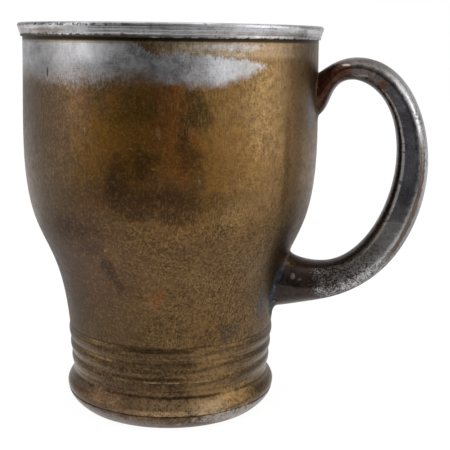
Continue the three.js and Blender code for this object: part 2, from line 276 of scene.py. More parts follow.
# %% Start of a finish
class Finish:
    def __init__(self, name, coat=0.0):
        self.material = bpy.data.materials.new(name)
        self.material.use_nodes = True
        self.tree = self.material.node_tree
        self.shader = self.tree.nodes["Principled BSDF"]
        self.shader.inputs["Metallic"].default_value = 1.0
        self.shader.inputs["Coat Weight"].default_value = coat
        self.shader.inputs["Coat Roughness"].default_value = 0.3
        coordinates = place(self.tree, "ShaderNodeTexCoord")
        centred = place(self.tree, "ShaderNodeMapping", {
            "Vector": coordinates.outputs["Object"], "Location": -AXIS})
        self.position = centred.outputs["Vector"]
        split = place(self.tree, "ShaderNodeSeparateXYZ", {"Vector": self.position}).outputs
        self.height = Signal(self.tree, split["Z"])
        self.turn = maths(self.tree, "ARCTAN2", split["Y"], split["X"]) * (180 / math.pi)
        self.colour = None

    def clouds(self, scale, contrast=1.5):
        return use(self.tree, clouds, Vector=self.position, Scale=scale, Contrast=contrast)

    def hairlines(self, around, upright, fade=60.0):
        """Fine lines: how many noise cells to a metre around the mug, and up it."""
        return use(self.tree, hairlines, Vector=self.position, Fade=fade,
                   Stretch=(around, around, upright))

    def specks(self, scale, size, gather, share):
        return use(self.tree, specks, Vector=self.position, Scale=scale, Size=size,
                   Gather=gather, Share=share)

    def patch(self, turn, height, radius, reach, softness=0.35, ragged=0.3, grain=120.0):
        """A ragged spot: turn about the axis (degrees), height, radius and reach in mm."""
        angle = math.radians(turn)
        centre = Vector((math.cos(angle) * radius, math.sin(angle) * radius, height)) * MM
        wide, tall = reach
        return use(self.tree, patch, Vector=self.position, Centre=centre,
                   Reach=Vector((wide, wide, tall)) * MM, Softness=softness, Ragged=ragged,
                   Grain=grain)

    def band(self, low, high, fade):
        """One between two heights (mm), fading outside them."""
        rise = self.height.ramp((low - fade) * MM, low * MM)
        return rise * self.height.ramp(high * MM, (high + fade) * MM, 1.0, 0.0)

    def paint(self, mask, strength, colour):
        """Lays a colour over what is there, as far as the mask and the strength say."""
        self.colour = (mask * strength).blend(self.colour, colour)

    def stains(self, table, within=None):
        """Lays down a table of ragged spots, one after the other, or only within a mask."""
        for turn, height, radius, reach, softness, ragged, grain, colour, strength in table:
            spot = self.patch(turn, height, radius, reach, softness, ragged, grain)
            self.paint(within * spot if within else spot, strength, srgb(*colour))

    def close(self, roughness, bump_height, bump_distance):
        """Plugs colour, roughness and relief into the shader; returns the material."""
        feed(self.tree, self.colour, self.shader.inputs["Base Color"])
        feed(self.tree, roughness, self.shader.inputs["Roughness"])
        bump = place(self.tree, "ShaderNodeBump", {
            "Height": bump_height, "Distance": bump_distance})
        feed(self.tree, bump.outputs["Normal"], self.shader.inputs["Normal"])
        print(self.material.name, "is made of", len(self.tree.nodes), "nodes")
        return self.material

# %% [markdown]
# ### The tulip wall outside
# Its ground is a brown patina that drifts between olive and a purplish brown. Stains and rubbed
# gold lie over it as ragged patches, with a painted highlight on the gold at the right, each set
# where the photograph shows it: a turn about the axis, a height, a reach sideways and up, a
# colour and a strength. Two tables keep them readable, one above and one below the belly, and a
# loop lays them down in order. One painted picture could do the same, but it would blur close up
# and stretch over the belly.

# %% Stains, rubbed places and painted light of the wall
BELLY = 46.5  # radius in mm for spots round the belly
UPPER_STAINS_AND_HIGHLIGHT = [
    # turn, height, radius, (reach sideways, up), softness, ragged, grain, colour, strength
    (-132, 84, BELLY, (15, 40), 0.6, 0.5, 60, (92, 74, 54), 0.7),          # grey-brown, far left
    (-109, 82, BELLY, (8, 26), 0.6, 0.9, 90, (102, 78, 46), 0.6),          # ochre, left
    (-43, 92, BELLY, (22, 27), 0.6, 0.5, 60, (138, 107, 66), 0.9),         # rubbed gold, right, partly a painted highlight
    (-47, 99, BELLY, (11, 14), 0.6, 0.7, 90, (156, 127, 84), 0.5),         # painted highlight on the rubbed gold
    (-86, 84, BELLY, (18, 22), 0.5, 0.9, 60, (136, 92, 30), 0.85),         # bare brown middle
    (-94, 73, BELLY, (11, 6), 0.5, 1.0, 100, (106, 70, 26), 0.6),          # darker, low
    (-58, 92, BELLY, (5, 12), 0.5, 1.0, 120, (118, 84, 52), 0.4),          # brown cloud
    (-66, 92, BELLY, (13, 22), 0.7, 0.8, 70, (150, 110, 54), 0.7),         # gold near the middle
    (-78, 92, BELLY, (6, 15), 0.7, 1.0, 110, (156, 92, 38), 0.7),          # orange-brown
    (-70, 97, BELLY, (3.6, 5), 0.5, 1.0, 200, (64, 52, 22), 0.7),          # black-olive blots
    (-72, 87, BELLY, (4, 5), 0.5, 1.0, 200, (60, 46, 24), 0.65),
    (-69, 80, BELLY, (2.5, 4), 0.5, 1.0, 200, (72, 50, 28), 0.5),
    (-92, 98, BELLY, (6, 4), 0.5, 1.0, 140, (92, 72, 24), 0.6),
    (-88, 83, BELLY, (4, 5), 0.5, 1.0, 200, (70, 48, 24), 0.6),
    (-97, 77, BELLY, (3, 6), 0.4, 0.9, 160, (66, 44, 26), 0.6),
    (-90, 74, BELLY, (9, 2), 0.5, 0.8, 160, (72, 46, 22), 0.6),            # foot of the dark ring
    (-78, 78, BELLY, (7, 3), 0.6, 1.0, 140, (112, 84, 62), 0.45),          # greyish bloom
    (-112, 99, BELLY, (5, 5), 0.5, 1.0, 140, (122, 90, 66), 0.45),         # pinkish, left
    (-106, 70, BELLY, (7, 6), 0.5, 1.0, 110, (104, 72, 50), 0.5),
    (-99, 76, BELLY, (3, 5.5), 0.6, 0.9, 140, (60, 40, 18), 0.6),          # rim of the dark ring
    (-96, 71, BELLY, (4, 2.6), 0.4, 0.8, 160, (56, 36, 16), 0.7),
    (-81, 73, BELLY, (15, 4.5), 0.5, 0.7, 90, (70, 49, 28), 0.82),         # inside the ring
    (-88, 68.6, BELLY, (6, 1.8), 0.4, 0.7, 160, (62, 42, 20), 0.7),
    (-77, 68.4, BELLY, (6, 2), 0.4, 0.8, 160, (60, 42, 20), 0.7),
    (-70, 71, BELLY, (4, 3), 0.4, 0.9, 160, (68, 46, 24), 0.6),
    (-123, 88, BELLY, (5, 10), 0.6, 1.0, 90, (104, 74, 58), 0.5)]          # purplish, far left
LOWER_STAINS = [
    (-116, 52, 41, (14, 13), 0.6, 0.7, 90, (88, 63, 46), 0.75),            # smooth purple-brown
    (-119, 63, 43.5, (9, 3.4), 0.4, 0.6, 120, (62, 42, 34), 0.75),         # its darker head
    (-112, 57.5, 41.5, (4, 2.4), 0.4, 0.6, 160, (64, 46, 36), 0.6),
    (-107, 53, 40, (1.7, 3.6), 0.6, 0.8, 200, (56, 38, 29), 0.7),          # streak running down
    (-104.5, 48.5, 38.6, (1.7, 3.6), 0.6, 0.8, 200, (56, 38, 28), 0.7),
    (-102.5, 43.5, 37.6, (1.5, 3.8), 0.6, 0.8, 200, (58, 40, 29), 0.7),
    (-54, 68, 45.5, (5, 4), 0.6, 0.9, 120, (150, 118, 72), 0.5),           # gold, lower right
    (-85, 42.5, 37.6, (2.5, 2.5), 0.6, 0.9, 250, (122, 74, 38), 0.5),      # orange spots
    (-74, 58, 42, (2.5, 2), 0.6, 0.9, 250, (84, 58, 50), 0.5),
    (-46, 30, 34, (3.6, 2.6), 0.5, 0.7, 250, (66, 58, 50), 0.6),
    (-32, 75, BELLY, (1.6, 24), 0.6, 0.5, 120, (74, 48, 16), 0.6),         # dark upright line
    (-21, 54, 41, (6, 9), 0.6, 0.5, 120, (56, 34, 10), 0.8),               # dark by lower root
    (-23, 37, 35, (3.4, 4), 0.5, 0.6, 300, (84, 82, 86), 0.75),            # smeared solder
    (-13, 98, BELLY, (4, 6), 0.5, 0.5, 200, (112, 112, 118), 0.6)]         # smear, upper root
LEFT_SHADE = [(-128, 45, 40, (22, 36), 0.7, 0.6, 70, (72, 56, 42), 0.7)]  # painted shade down the far left
PLATE_SPOTS_AND_PAINTED_LIGHT = [
    (-121, 109, BELLY, (15, 12), 0.5, 0.4, 90, (126, 124, 124), 0.6),      # dull left end
    (-61, 111.5, BELLY, (6, 5), 0.6, 0.4, 90, (238, 238, 242), 0.45),      # painted highlight at the brightest place
    (-47, 111, BELLY, (8, 6), 0.6, 0.4, 90, (150, 146, 140), 0.65),        # worn tip, darkened further as painted shade
    (-121, 107.4, BELLY, (12, 3.5), 0.6, 0.5, 120, (100, 97, 97), 0.5),
    (-104, 114.5, BELLY, (6, 3), 0.6, 0.5, 120, (232, 232, 236), 0.5),
    (-88, 111, BELLY, (17, 8), 0.6, 0.4, 90, (116, 112, 112), 0.25)]       # tarnish
NICKS = [
    # bright scrapes: turn, height, radius, reach
    (-82.4, 92.5, BELLY, (0.5, 1.6)), (-84, 82.5, BELLY, (0.7, 0.3)),
    (-68.5, 79, BELLY, (0.4, 0.8)), (-105, 57.6, 41.6, (0.4, 0.4)),
    (-109, 92.6, BELLY, (0.3, 0.6)), (-92, 88, BELLY, (0.6, 0.3))]

# %% Wall: patina, stains and painted light
f = Finish("tulip_patina", coat=0.08)
drift, tint = f.clouds(60.0, 4.0), f.clouds(130.0, 4.5)
fine, grit = f.clouds(420.0, 4.0), f.clouds(1250.0, 5.0)
f.colour = drift.blend(srgb(92, 74, 42), srgb(108, 83, 50))
f.paint(tint, 0.5, srgb(92, 64, 46))
f.stains(UPPER_STAINS_AND_HIGHLIGHT)
f.paint(fine, 0.3, srgb(82, 56, 34))

# below the belly the patina is worn through in specks
lower = (f.height + (tint - 0.5) * 0.006).ramp(0.069, 0.0635)
f.paint(lower, 0.8, tint.blend(srgb(113, 86, 52), srgb(99, 74, 45)))
f.stains(LEFT_SHADE + LOWER_STAINS)

# %% [markdown]
# The last of the silver is a band under the lip that fades on the left, is worn brown in the
# middle and ends in a wedge on the right. It is painted between two heights that change with
# the turn round the mug. A table of spots couldn't give it the long clean edge that it has on
# the real one. Scratches shift both heights a little, so the edge breaks up along them.

# %% Wall: where silver is left
softness = f.turn.ramp(-94, -74, 0.004, 0.0017)
scratches = f.hairlines(1500.0, 700.0, 60.0)
wander = (tint - 0.5) * 0.0016 + scratches * (softness * 1.9)
level = f.height + (wander + (grit - 0.5) * (softness * 0.15))
upper_edge = f.turn.ramp(-94, -83, 0.118, 0.1134) - f.turn.ramp(-66, -43, 0.0, 0.0026)
lower_edge = f.turn.ramp(-106, -96, 0.1078, 0.1086) - f.turn.ramp(-88, -76, 0.0, 0.0029)
lower_edge = lower_edge + f.turn.ramp(-62, -43, 0.0, 0.0044)
above = level.ramp(lower_edge - softness, lower_edge + softness)
below = level.ramp(upper_edge + 0.0007, upper_edge - 0.0007)
plate = above * below * (f.turn.ramp(-42, -46) * f.turn.ramp(-172, -150))
thinned = scratches.ramp(-0.2, 0.1, 1.0, 0.5)
for turn, height, reach in ((-56, 115.6, (8, 0.8)), (150, 113, (40, 7)), (70, 112, (30, 5))):
    plate = plate | f.patch(turn, height, BELLY, reach, 0.7, 0.8, 500.0) * thinned
plate = plate * f.height.ramp(0.1172, 0.1164)

# %% Wall: laying the silver on
# first a washed brown strip above the wedge and a thin film below the band
washed = f.band(113.6, 116.6, 1.6) * (f.turn.ramp(-88, -74) * f.turn.ramp(-16, -30))
f.paint(washed * fine.ramp(0.1, 0.9, 0.55, 1.0), 0.8,
        f.turn.ramp(-58, -44).blend(srgb(208, 190, 166), srgb(160, 138, 110)))
film = level.ramp(lower_edge - 0.0062, lower_edge)
film = film * f.band(101.0, 112.0, 2.0) * f.turn.ramp(-84, -98, 0.1, 1.0)
f.paint(film * grit.ramp(0.2, 0.8, 0.3, 1.0), 0.4, srgb(134, 124, 114))
f.paint(plate, 0.88, fine.blend(srgb(176, 177, 182), srgb(214, 215, 220)))
f.paint(plate * scratches.ramp(0.02, 0.14), 0.35, srgb(104, 98, 90))
f.paint(plate * scratches.ramp(-0.02, -0.14), 0.3, srgb(226, 226, 230))
# spots on the plate, among them a painted highlight and a painted shade
f.stains(PLATE_SPOTS_AND_PAINTED_LIGHT, within=plate)
f.paint(f.band(116.3, 117.2, 0.2) * f.patch(-112, 117, BELLY, (34, 5), 0.3, 0.3), 0.6,
        srgb(132, 120, 84))

# %% [markdown]
# Grain comes last, so that it runs through all of the layers. There is less of it where silver
# covers the brass and on the smooth lower left. The same pits and hairlines feed the relief,
# so that what looks like a pit also catches the light like one.

# %% Wall: grain and pits
bare = 1.0 - plate * 0.75
calm = f.patch(-120, 50, 41, (20, 24), 0.6, 0.5, 80.0)
busy = bare * calm.ramp(0.0, 1.0, 1.0, 0.4)
pits = f.specks(2300.0, 0.9, 90.0, 0.55) * busy
upright = f.hairlines(2600.0, 420.0)
level_marks = f.hairlines(300.0, 3000.0, 80.0)
f.paint(grit.ramp(0.45, 0.0) * busy * (lower * 0.33 + 0.2), 1.0, srgb(48, 35, 20))
f.paint(grit.ramp(0.6, 1.0) * bare, 0.22, srgb(150, 124, 84))
f.paint(upright.ramp(0.01, 0.1) * busy, 0.4, srgb(60, 44, 26))
f.paint(upright.ramp(-0.03, -0.12) * (busy * f.turn.ramp(-96, -66, 0.2, 1.0)), 0.3,
        srgb(168, 144, 104))
f.paint(level_marks.ramp(0.03, 0.12), 0.3, srgb(70, 58, 46))
f.paint(pits * lower.ramp(0.0, 1.0, 0.35, 1.0), 0.6, srgb(46, 34, 20))
for turn, height, radius, reach in NICKS:
    f.paint(f.patch(turn, height, radius, reach, 0.6, 0.9, 1400.0), 0.4, srgb(178, 150, 112))
f.paint(f.patch(-127.5, 108, BELLY, (0.45, 1.3), 0.4, 0.4, 900.0), 0.9, srgb(40, 34, 30))

# %% Wall: dirt in the joints under the lip and over the reeds
f.paint(f.height.ramp(0.1166, 0.1172), 0.9, srgb(28, 21, 12))
f.paint(f.height.ramp(0.0272, 0.0266) * tint.ramp(0.3, 0.7), 0.5, srgb(40, 30, 18))
relief = upright * 0.5 - pits * 0.6 + grit * 0.12
finish_tulip = f.close(fine * 0.1 + 0.34 - plate * 0.08, relief, 0.07 * MM)

# %% [markdown]
# ### Inside of the cup
# The lining was silvered as well. It has gone grey, and is darker and browner towards the bottom.
# A blend by height and some spots are enough for it: only a sliver is seen.

# %% Finish: inside of the cup
f = Finish("cup_lining")
fine = f.clouds(380.0, 1.4)
f.colour = f.clouds(45.0, 1.8).blend(srgb(128, 122, 112), srgb(176, 173, 168))
f.paint(f.height.ramp(0.1, 0.03), 0.45, srgb(106, 90, 66))
f.paint(f.specks(900.0, 0.5, 60.0, 0.4), 0.6, srgb(60, 52, 44))
finish_inside = f.close(fine * 0.2 + 0.34, f.hairlines(60.0, 2600.0) * 0.3, 0.1 * MM)

# %% [markdown]
# ### The lip
# Its plate is thicker and still silver. It was turned, so fine rings run round it. They could
# be cut into the mesh, but noise that is squeezed in height gives thousands of them at no
# cost. Dirt fills the joint below, most of all on the left, where it hides the bead.

# %% Finish: lip
LIP = 47  # radius in mm for its spots
f = Finish("lip_worn_silver")
drift, fine = f.clouds(140.0, 3.0), f.clouds(700.0, 3.5)
f.colour = drift.blend(srgb(166, 164, 164), srgb(214, 214, 218))
rings, broad_rings = f.hairlines(50.0, 5200.0, 90.0), f.hairlines(24.0, 1900.0, 60.0)
f.paint(rings.ramp(0.02, 0.16), 0.5, srgb(88, 84, 82))
f.paint(broad_rings.ramp(0.02, 0.14), 0.5, srgb(104, 100, 100))
f.paint(fine.ramp(0.35, 0.0), 0.3, srgb(70, 64, 60))
# painted shade: the middle of the lip is darker, where it mirrors the dark space round the camera
f.paint(f.patch(-86, 120, LIP, (15, 5), 0.6, 0.3, 90.0), 0.4, srgb(112, 110, 110))
low_right = f.band(118.0, 119.5, 0.5) * f.turn.ramp(-78, -62)
f.paint(low_right * fine.ramp(0.1, 0.9, 0.4, 1.0), 0.55, srgb(120, 108, 96))
pitted_line = f.band(121.0, 121.5, 0.2) * fine.ramp(0.45, 0.62) * f.turn.ramp(-86, -96)
f.paint(pitted_line, 0.85, srgb(40, 34, 30))
f.paint(f.specks(1500.0, 0.7, 130.0, 0.40), 0.5, srgb(58, 52, 48))
f.stains([(-128, 119.6, LIP, (9, 0.8), 0.5, 0.7, 300, (98, 80, 54), 0.6),
          (-145, 119, LIP, (7, 1.2), 0.5, 0.6, 300, (96, 78, 60), 0.5)])

# dirt along the joint, thick on the left where it hides the bead
rim_dirt = f.turn.ramp(-80, -96, 0.118, 0.1187) + (fine - 0.5) * 0.0008
dirt = f.height.ramp(rim_dirt + 0.0002, rim_dirt - 0.0003)
f.paint(dirt * (f.turn.ramp(-160, -150) * f.turn.ramp(0, -20)), 0.9,
        fine.blend(srgb(28, 20, 12), srgb(74, 58, 34)))
f.paint(f.height.ramp(0.1181, 0.1178), 0.9, srgb(32, 25, 16))
finish_lip = f.close(drift * 0.08 + 0.22 + dirt * 0.3, rings * 0.5 + broad_rings, 0.12 * MM)

# %% [markdown]
# ### Reeds and foot
# The reeds and the foot are polished by every table they were pushed across, so the crests are
# light; the dark bands below the grooves are painted shade. Turned pieces also show long streaks
# around, where the tool went. So the ground is a patina like the wall's, and two widths of
# hairlines lie over it.

# %% Stains and painted light of the foot
FOOT = 33.5  # radius in mm for spots on reeds and foot
FOOT_STAINS_AND_PAINTED_LIGHT = [
    (-84, 18, FOOT, (13, 13), 0.6, 0.6, 110, (66, 48, 32), 0.5),           # painted shade in the middle
    (-57, 17, FOOT, (7, 10), 0.6, 0.6, 160, (140, 110, 72), 0.6),          # rubbed, with a painted highlight, right
    (-88, 7, FOOT, (14, 3.2), 0.6, 0.6, 160, (172, 142, 104), 0.7),        # painted highlight on the roll
    # painted highlight on the roll, right
    (-57, 7, FOOT, (5, 2.2), 0.6, 0.6, 160, (184, 156, 120), 0.7),
    # painted highlight fading to the right along the roll
    (-36, 9, FOOT, (6, 3.4), 0.5, 0.6, 160, (142, 110, 66), 0.5),
    (-115, 8, FOOT, (16, 6), 0.6, 0.6, 110, (78, 56, 46), 0.6)]            # purplish, left
EDGE_STAINS = [
    (-38, 3.2, FOOT, (16, 2.0), 0.3, 0.6, 300, (166, 158, 150), 0.75),     # plate, right
    (-122, 2.4, FOOT, (24, 1.6), 0.3, 0.7, 300, (128, 120, 116), 0.5)]     # and left

# %% Reeds and foot: patina, streaks, stains and painted light
f = Finish("foot_patina", coat=0.08)
drift, tint = f.clouds(75.0, 4.0), f.clouds(170.0, 4.5)
fine, grit = f.clouds(420.0, 4.0), f.clouds(1250.0, 5.0)
streak = f.hairlines(40.0, 1300.0, 60.0)
f.colour = drift.blend(srgb(84, 66, 38), srgb(112, 86, 52))
f.paint(tint, 0.5, srgb(86, 60, 46))
f.paint(fine, 0.3, srgb(72, 58, 40))
broad_streak = f.hairlines(26.0, 520.0, 50.0)
f.paint(streak.ramp(0.0, 0.12), 0.5, srgb(142, 118, 84))
f.paint(streak.ramp(0.0, -0.12), 0.5, srgb(50, 36, 22))
f.paint(broad_streak.ramp(0.0, 0.1), 0.4, srgb(134, 110, 76))
f.paint(broad_streak.ramp(0.0, -0.1), 0.45, srgb(54, 38, 22))
f.stains(FOOT_STAINS_AND_PAINTED_LIGHT)
# painted shade on the lower band under the cut line, which faces down
f.paint(f.height.ramp(0.005, 0.0046), 0.6, fine.blend(srgb(58, 42, 34), srgb(92, 70, 52)))
f.stains(EDGE_STAINS)

# %% [markdown]
# Under each crest the reed turns down, and there a painted shade darkens it. A curvature mask
# could find the grooves, but it needs a very fine mesh. The rule of the reeds is known, so a
# sine of the height finds them exactly. The painted shade lies a little lower than the grooves,
# and lower still near the front, as the dark lines do in the photograph.

# %% Reeds and foot: painted shade below the grooves, and scribed lines
LAG_TURN = -86  # where the painted shade lies furthest below the grooves
lag = abs(f.turn - LAG_TURN).ramp(15, 45, 0.0029, 0.0013)
collar_foot, collar_height, reed_count = 0.0124, 0.014, 3
phase = (f.height + lag - collar_foot) * (math.pi * reed_count / collar_height)
groove = abs(maths(f.tree, "SINE", phase)).ramp(0.72, 0.1)
dark = groove * f.band(12.6, 24.6, 0.8) * tint.ramp(0.2, 0.7, 0.6, 1.0)
dark = dark * f.turn.ramp(-140, -112, 0.45, 0.85)
scribed = (f.band(10.2, 10.7, 0.35) | f.band(14.9, 15.0, 0.12)) * tint.ramp(0.25, 0.6, 0.5, 1.0)
edge_line = f.band(4.75, 4.95, 0.2) * tint.ramp(0.3, 0.65, 0.3, 1.0)
# painted shade below the grooves, and the scribed lines in the same dark colour
f.paint(dark | scribed, 0.78, srgb(36, 25, 13))
f.paint(edge_line, 0.42, srgb(38, 26, 14))
# a painted highlight just above the fine turned line, in the front
painted_highlight_line = f.band(15.3, 15.6, 0.15) * (f.turn.ramp(-112, -100) * f.turn.ramp(-50, -58))
f.paint(painted_highlight_line * tint.ramp(0.2, 0.5), 0.5, srgb(160, 140, 112))

# %% Reeds and foot: pits and grain
pits = f.specks(1700.0, 0.9, 90.0, 0.5)
f.paint(pits, 0.6, srgb(42, 31, 18))
f.paint(grit.ramp(0.45, 0.0), 0.45, srgb(52, 38, 24))
f.paint(grit.ramp(0.6, 1.0), 0.22, srgb(150, 124, 84))
finish_foot = f.close(drift * 0.1 + 0.32, streak * 0.5 - pits, 0.06 * MM)

# %% [markdown]
# ### Floor and solder
# The floor is dull brass inside the foot. Solder is a soft grey metal, and patina creeps over
# it: brown all over the upper root, ochre along the top of the lower one. Both roots share
# one finish that changes with the height, so the two fillets stay the same metal.

# %% Finish: floor
f = Finish("floor_sheet")
drift = f.clouds(80.0, 1.8)
f.colour = drift.blend(srgb(96, 80, 56), srgb(142, 124, 92))
f.paint(f.specks(900.0, 0.5, 90.0, 0.45), 0.6, srgb(50, 40, 28))
finish_floor = f.close(drift * 0.2 + 0.42, drift, 0.05 * MM)

# %% Finish: solder
f = Finish("soft_solder")
drift, fine = f.clouds(260.0, 3.5), f.clouds(900.0, 3.5)
f.colour = drift.blend(srgb(38, 40, 46), srgb(78, 80, 88))
f.paint(f.height.ramp(0.089, 0.096), 0.85, fine.blend(srgb(34, 22, 13), srgb(62, 42, 30)))
f.paint(f.height.ramp(0.046, 0.05), 0.6, srgb(96, 72, 44))
f.paint(f.specks(1300.0, 0.9, 200.0, 0.5), 0.7, srgb(26, 21, 17))
f.paint(fine.ramp(0.8, 1.0), 0.4, srgb(150, 146, 142))
finish_solder = f.close(drift * 0.2 + 0.42, fine, 0.15 * MM)

# %% [markdown]
# ### The handle
# The handle was plated too. The plate is gone where it was never rubbed bright, at the dark
# roots and flat sides, and still shines on the outer face that fingers and cloths reach. The
# wear could be a picture on an unwrapped mesh, which would stretch at the bends. Here the mesh
# carries two values instead: how far along the handle a point lies, and how far out through
# its depth, from 0 on the inner face to 1 on the outer one.

# %% Nicks and spots of the handle
HANDLE_SPOTS = [
    (-5.7, 110.6, 55.2, (1.3, 0.3), 0.5, 0.7, 700, (170, 166, 160), 0.8),  # scrape by the crown
    (-4.4, 107.4, 59.5, (1.8, 0.3), 0.5, 0.7, 700, (146, 140, 134), 0.8),
    (-4.4, 104.8, 66.2, (1.8, 1.2), 0.5, 0.7, 700, (84, 54, 30), 0.8),     # rust-brown spot
    (-9.7, 48.6, 40.2, (2.2, 1.2), 0.5, 0.7, 700, (112, 84, 46), 0.8),     # brass, lower root
    (-9.8, 44.5, 41.5, (0.7, 0.9), 0.5, 0.7, 700, (146, 136, 128), 0.8),   # splash of solder
    (-9.0, 43.4, 43.5, (0.5, 0.3), 0.5, 0.7, 700, (120, 110, 104), 0.8)]

# %% Handle: values from the mesh, and streaks
f = Finish("handle_worn_plate", coat=0.05)
tree = f.tree
along, depth = (
    Signal(tree, place(tree, "ShaderNodeAttribute", attribute_name=label).outputs["Fac"])
    for label in ("along_handle", "through_handle"))
drift, fine, grit = f.clouds(110.0, 3.5), f.clouds(480.0, 3.5), f.clouds(1300.0, 4.0)
fray = (fine - 0.5) * 0.06
lengthwise = place(tree, "ShaderNodeCombineXYZ", {"X": along * 24.0, "Y": depth * 46.0})
rubbed = place(tree, "ShaderNodeTexNoise", {
    "Vector": lengthwise.outputs[0], "Scale": 1.0, "Detail": 4.0, "Roughness": 0.6})
streak = Signal(tree, rubbed.outputs["Fac"]).ramp(0.35, 0.65)

# %% Handle: bluish black sides, a brown crown, a lighter lower arm, painted shade inside
f.colour = drift.blend(srgb(60, 60, 67), srgb(104, 104, 112))
f.paint(streak.ramp(0.5, 1.0), 0.35, srgb(92, 72, 62))
crown = along.ramp(0.12, 0.18) * along.ramp(0.42, 0.3)
f.paint(crown, 0.85, fine.blend(srgb(78, 66, 60), srgb(112, 103, 98)))
top_face = crown * (depth + fray).ramp(0.55, 0.8)
f.paint(top_face, 0.8, fine.blend(srgb(70, 64, 60), srgb(104, 99, 96)))
f.paint(along.ramp(0.52, 0.64), 0.8, drift.blend(srgb(124, 117, 112), srgb(160, 155, 152)))
# painted shade on the inner face, which mirrors the dark wall
f.paint(depth.ramp(0.17, 0.07), 0.9, srgb(36, 26, 20))

# %% Handle: plate left on the outer face and the lower arm, and a painted highlight on the inner ridge
outer_face = (depth + fray).ramp(0.62, 0.78)
outer = outer_face * (along.ramp(0.27, 0.37) * along.ramp(0.78, 0.66))
beyond_edge = depth + fray - along.ramp(0.54, 0.72, 0.6, 0.42)
arm = beyond_edge.ramp(-0.1, 0.14) * (along.ramp(0.52, 0.6) * (along + fray).ramp(0.76, 0.66))
# a painted highlight along the inner ridge, in the plate's colours
ridge = abs(depth - 0.2).ramp(0.06, 0.02) * (along.ramp(0.32, 0.37) * along.ramp(0.72, 0.6))
ridge = ridge * fine.ramp(0.05, 0.4)
f.paint(arm, 0.85, grit.blend(srgb(138, 135, 134), srgb(190, 188, 188)))
# the plate on the outer face, and the painted highlight on the ridge
f.paint(outer | ridge, 0.9, streak.blend(srgb(172, 170, 170), srgb(216, 216, 218)))
dulled = outer_face * along.ramp(0.46, 0.54) * streak.ramp(0.0, 1.0, 0.6, 1.0)
f.paint(dulled * along.ramp(0.7, 0.62), 0.6, fine.blend(srgb(96, 86, 78), srgb(136, 130, 126)))
beside_strip = abs(depth + fray * 0.6 - 0.8)
worn_strip = along.ramp(0.43, 0.47) * along.ramp(0.68, 0.62) * beside_strip.ramp(0.085, 0.05)
f.paint(worn_strip, 0.85, fine.blend(srgb(58, 42, 32), srgb(98, 76, 60)))

# %% [markdown]
# Both roots are brown, the upper one reddish, and the brown reaches further along the inner
# side. The lower one gives way to the plate in pits, so fine noise shifts its edge.

# %% Handle: brown roots
root_reach = depth.ramp(0.0, 1.0, 0.27, 0.2) + fray
near_upper = (along - root_reach).ramp(0.02, -0.02)
pitting = fray * 1.2 + (f.clouds(1900.0, 4.0) - 0.5) * 0.14
near_lower = (along + pitting).ramp(0.66, 0.76)
f.paint(near_upper, 0.93, fine.blend(srgb(50, 26, 14), srgb(92, 56, 38)))
f.paint(near_lower, 0.93, fine.blend(srgb(30, 22, 17), srgb(58, 44, 36)))
root = near_upper | near_lower
# painted shade on the inner side of both roots, where they meet the wall
f.paint(root * depth.ramp(0.22, 0.08), 0.8, srgb(40, 24, 15))

# %% Handle: pits and spots
pitted_arm = along.ramp(0.6, 0.66) * along.ramp(0.8, 0.74)
f.paint(f.specks(2100.0, 1.0, 240.0, 0.6) * pitted_arm, 0.8, srgb(48, 38, 32))
f.paint(f.specks(1200.0, 0.8, 150.0, 0.42) * (outer | arm), 0.7, srgb(84, 76, 72))
f.paint(f.specks(900.0, 0.6, 90.0, 0.35), 0.5, srgb(36, 30, 27))
f.stains(HANDLE_SPOTS)
roughness = fine * 0.12 + 0.24 + (arm | pitted_arm) * 0.12
finish_handle = f.close(roughness, f.specks(1500.0, 1.0, 240.0, 0.5) * -0.8 + fine, 0.06 * MM)

# %% [markdown]
# ## Turned pieces
# The wall, lip, reeds, foot and floor are all turned or spun, so each is one outline swept
# once round the mug's axis. A lathe does this in metal, and a small Geometry Nodes tree does
# it here: the outline's points become a curve, and Curve to Mesh carries it round a circle.
# The tree's inputs are the number of sides, the place of the axis and the finish, so the same
# tree serves all five pieces. Merging close points shuts the pole of a flat disc.

# %% A lathe built from Geometry Nodes
def build_lathe():
    tree = bpy.data.node_groups.new("Lathe", "GeometryNodeTree")
    sockets = (("Outline", "NodeSocketGeometry"), ("Sides", "NodeSocketInt"),
               ("Axis", "NodeSocketVector"), ("Finish", "NodeSocketMaterial"))
    for label, kind in sockets:
        tree.interface.new_socket(label, in_out="INPUT", socket_type=kind)
    tree.interface.new_socket("Turned", in_out="OUTPUT", socket_type="NodeSocketGeometry")
    given = tree.nodes.new("NodeGroupInput").outputs
    circle_radius = 0.001
    outline = place(tree, "GeometryNodeMeshToCurve", {"Mesh": given["Outline"]})
    laid_down = place(tree, "GeometryNodeTransform", {
        "Geometry": outline.outputs["Curve"], "Translation": (-circle_radius, 0, 0),
        "Rotation": (math.pi / 2, 0, 0)})
    circle = place(tree, "GeometryNodeCurvePrimitiveCircle", {
        "Resolution": given["Sides"], "Radius": circle_radius})
    swept = place(tree, "GeometryNodeCurveToMesh", {
        "Curve": circle.outputs["Curve"], "Profile Curve": laid_down.outputs["Geometry"]})
    welded = place(tree, "GeometryNodeMergeByDistance", {
        "Geometry": swept.outputs["Mesh"], "Distance": 1e-6})
    moved = place(tree, "GeometryNodeTransform", {
        "Geometry": welded.outputs["Geometry"], "Translation": given["Axis"]})
    real = place(tree, "GeometryNodeRealizeInstances", {"Geometry": moved.outputs["Geometry"]})
    dressed = place(tree, "GeometryNodeSetMaterial", {
        "Geometry": real.outputs["Geometry"], "Material": given["Finish"]})
    leave = tree.nodes.new("NodeGroupOutput")
    tree.links.new(dressed.outputs["Geometry"], leave.inputs["Turned"])
    return tree


lathe = build_lathe()

# %% Turning one piece
def finish_mesh(mesh, crease_degrees):
    """Faces outwards, smooth, with creases only where the surface really turns."""
    work = bmesh.new()
    work.from_mesh(mesh)
    bmesh.ops.recalc_face_normals(work, faces=work.faces)
    work.to_mesh(mesh)
    work.free()
    mesh.shade_smooth()
    mesh.set_sharp_from_angle(angle=math.radians(crease_degrees))
    mesh.update()


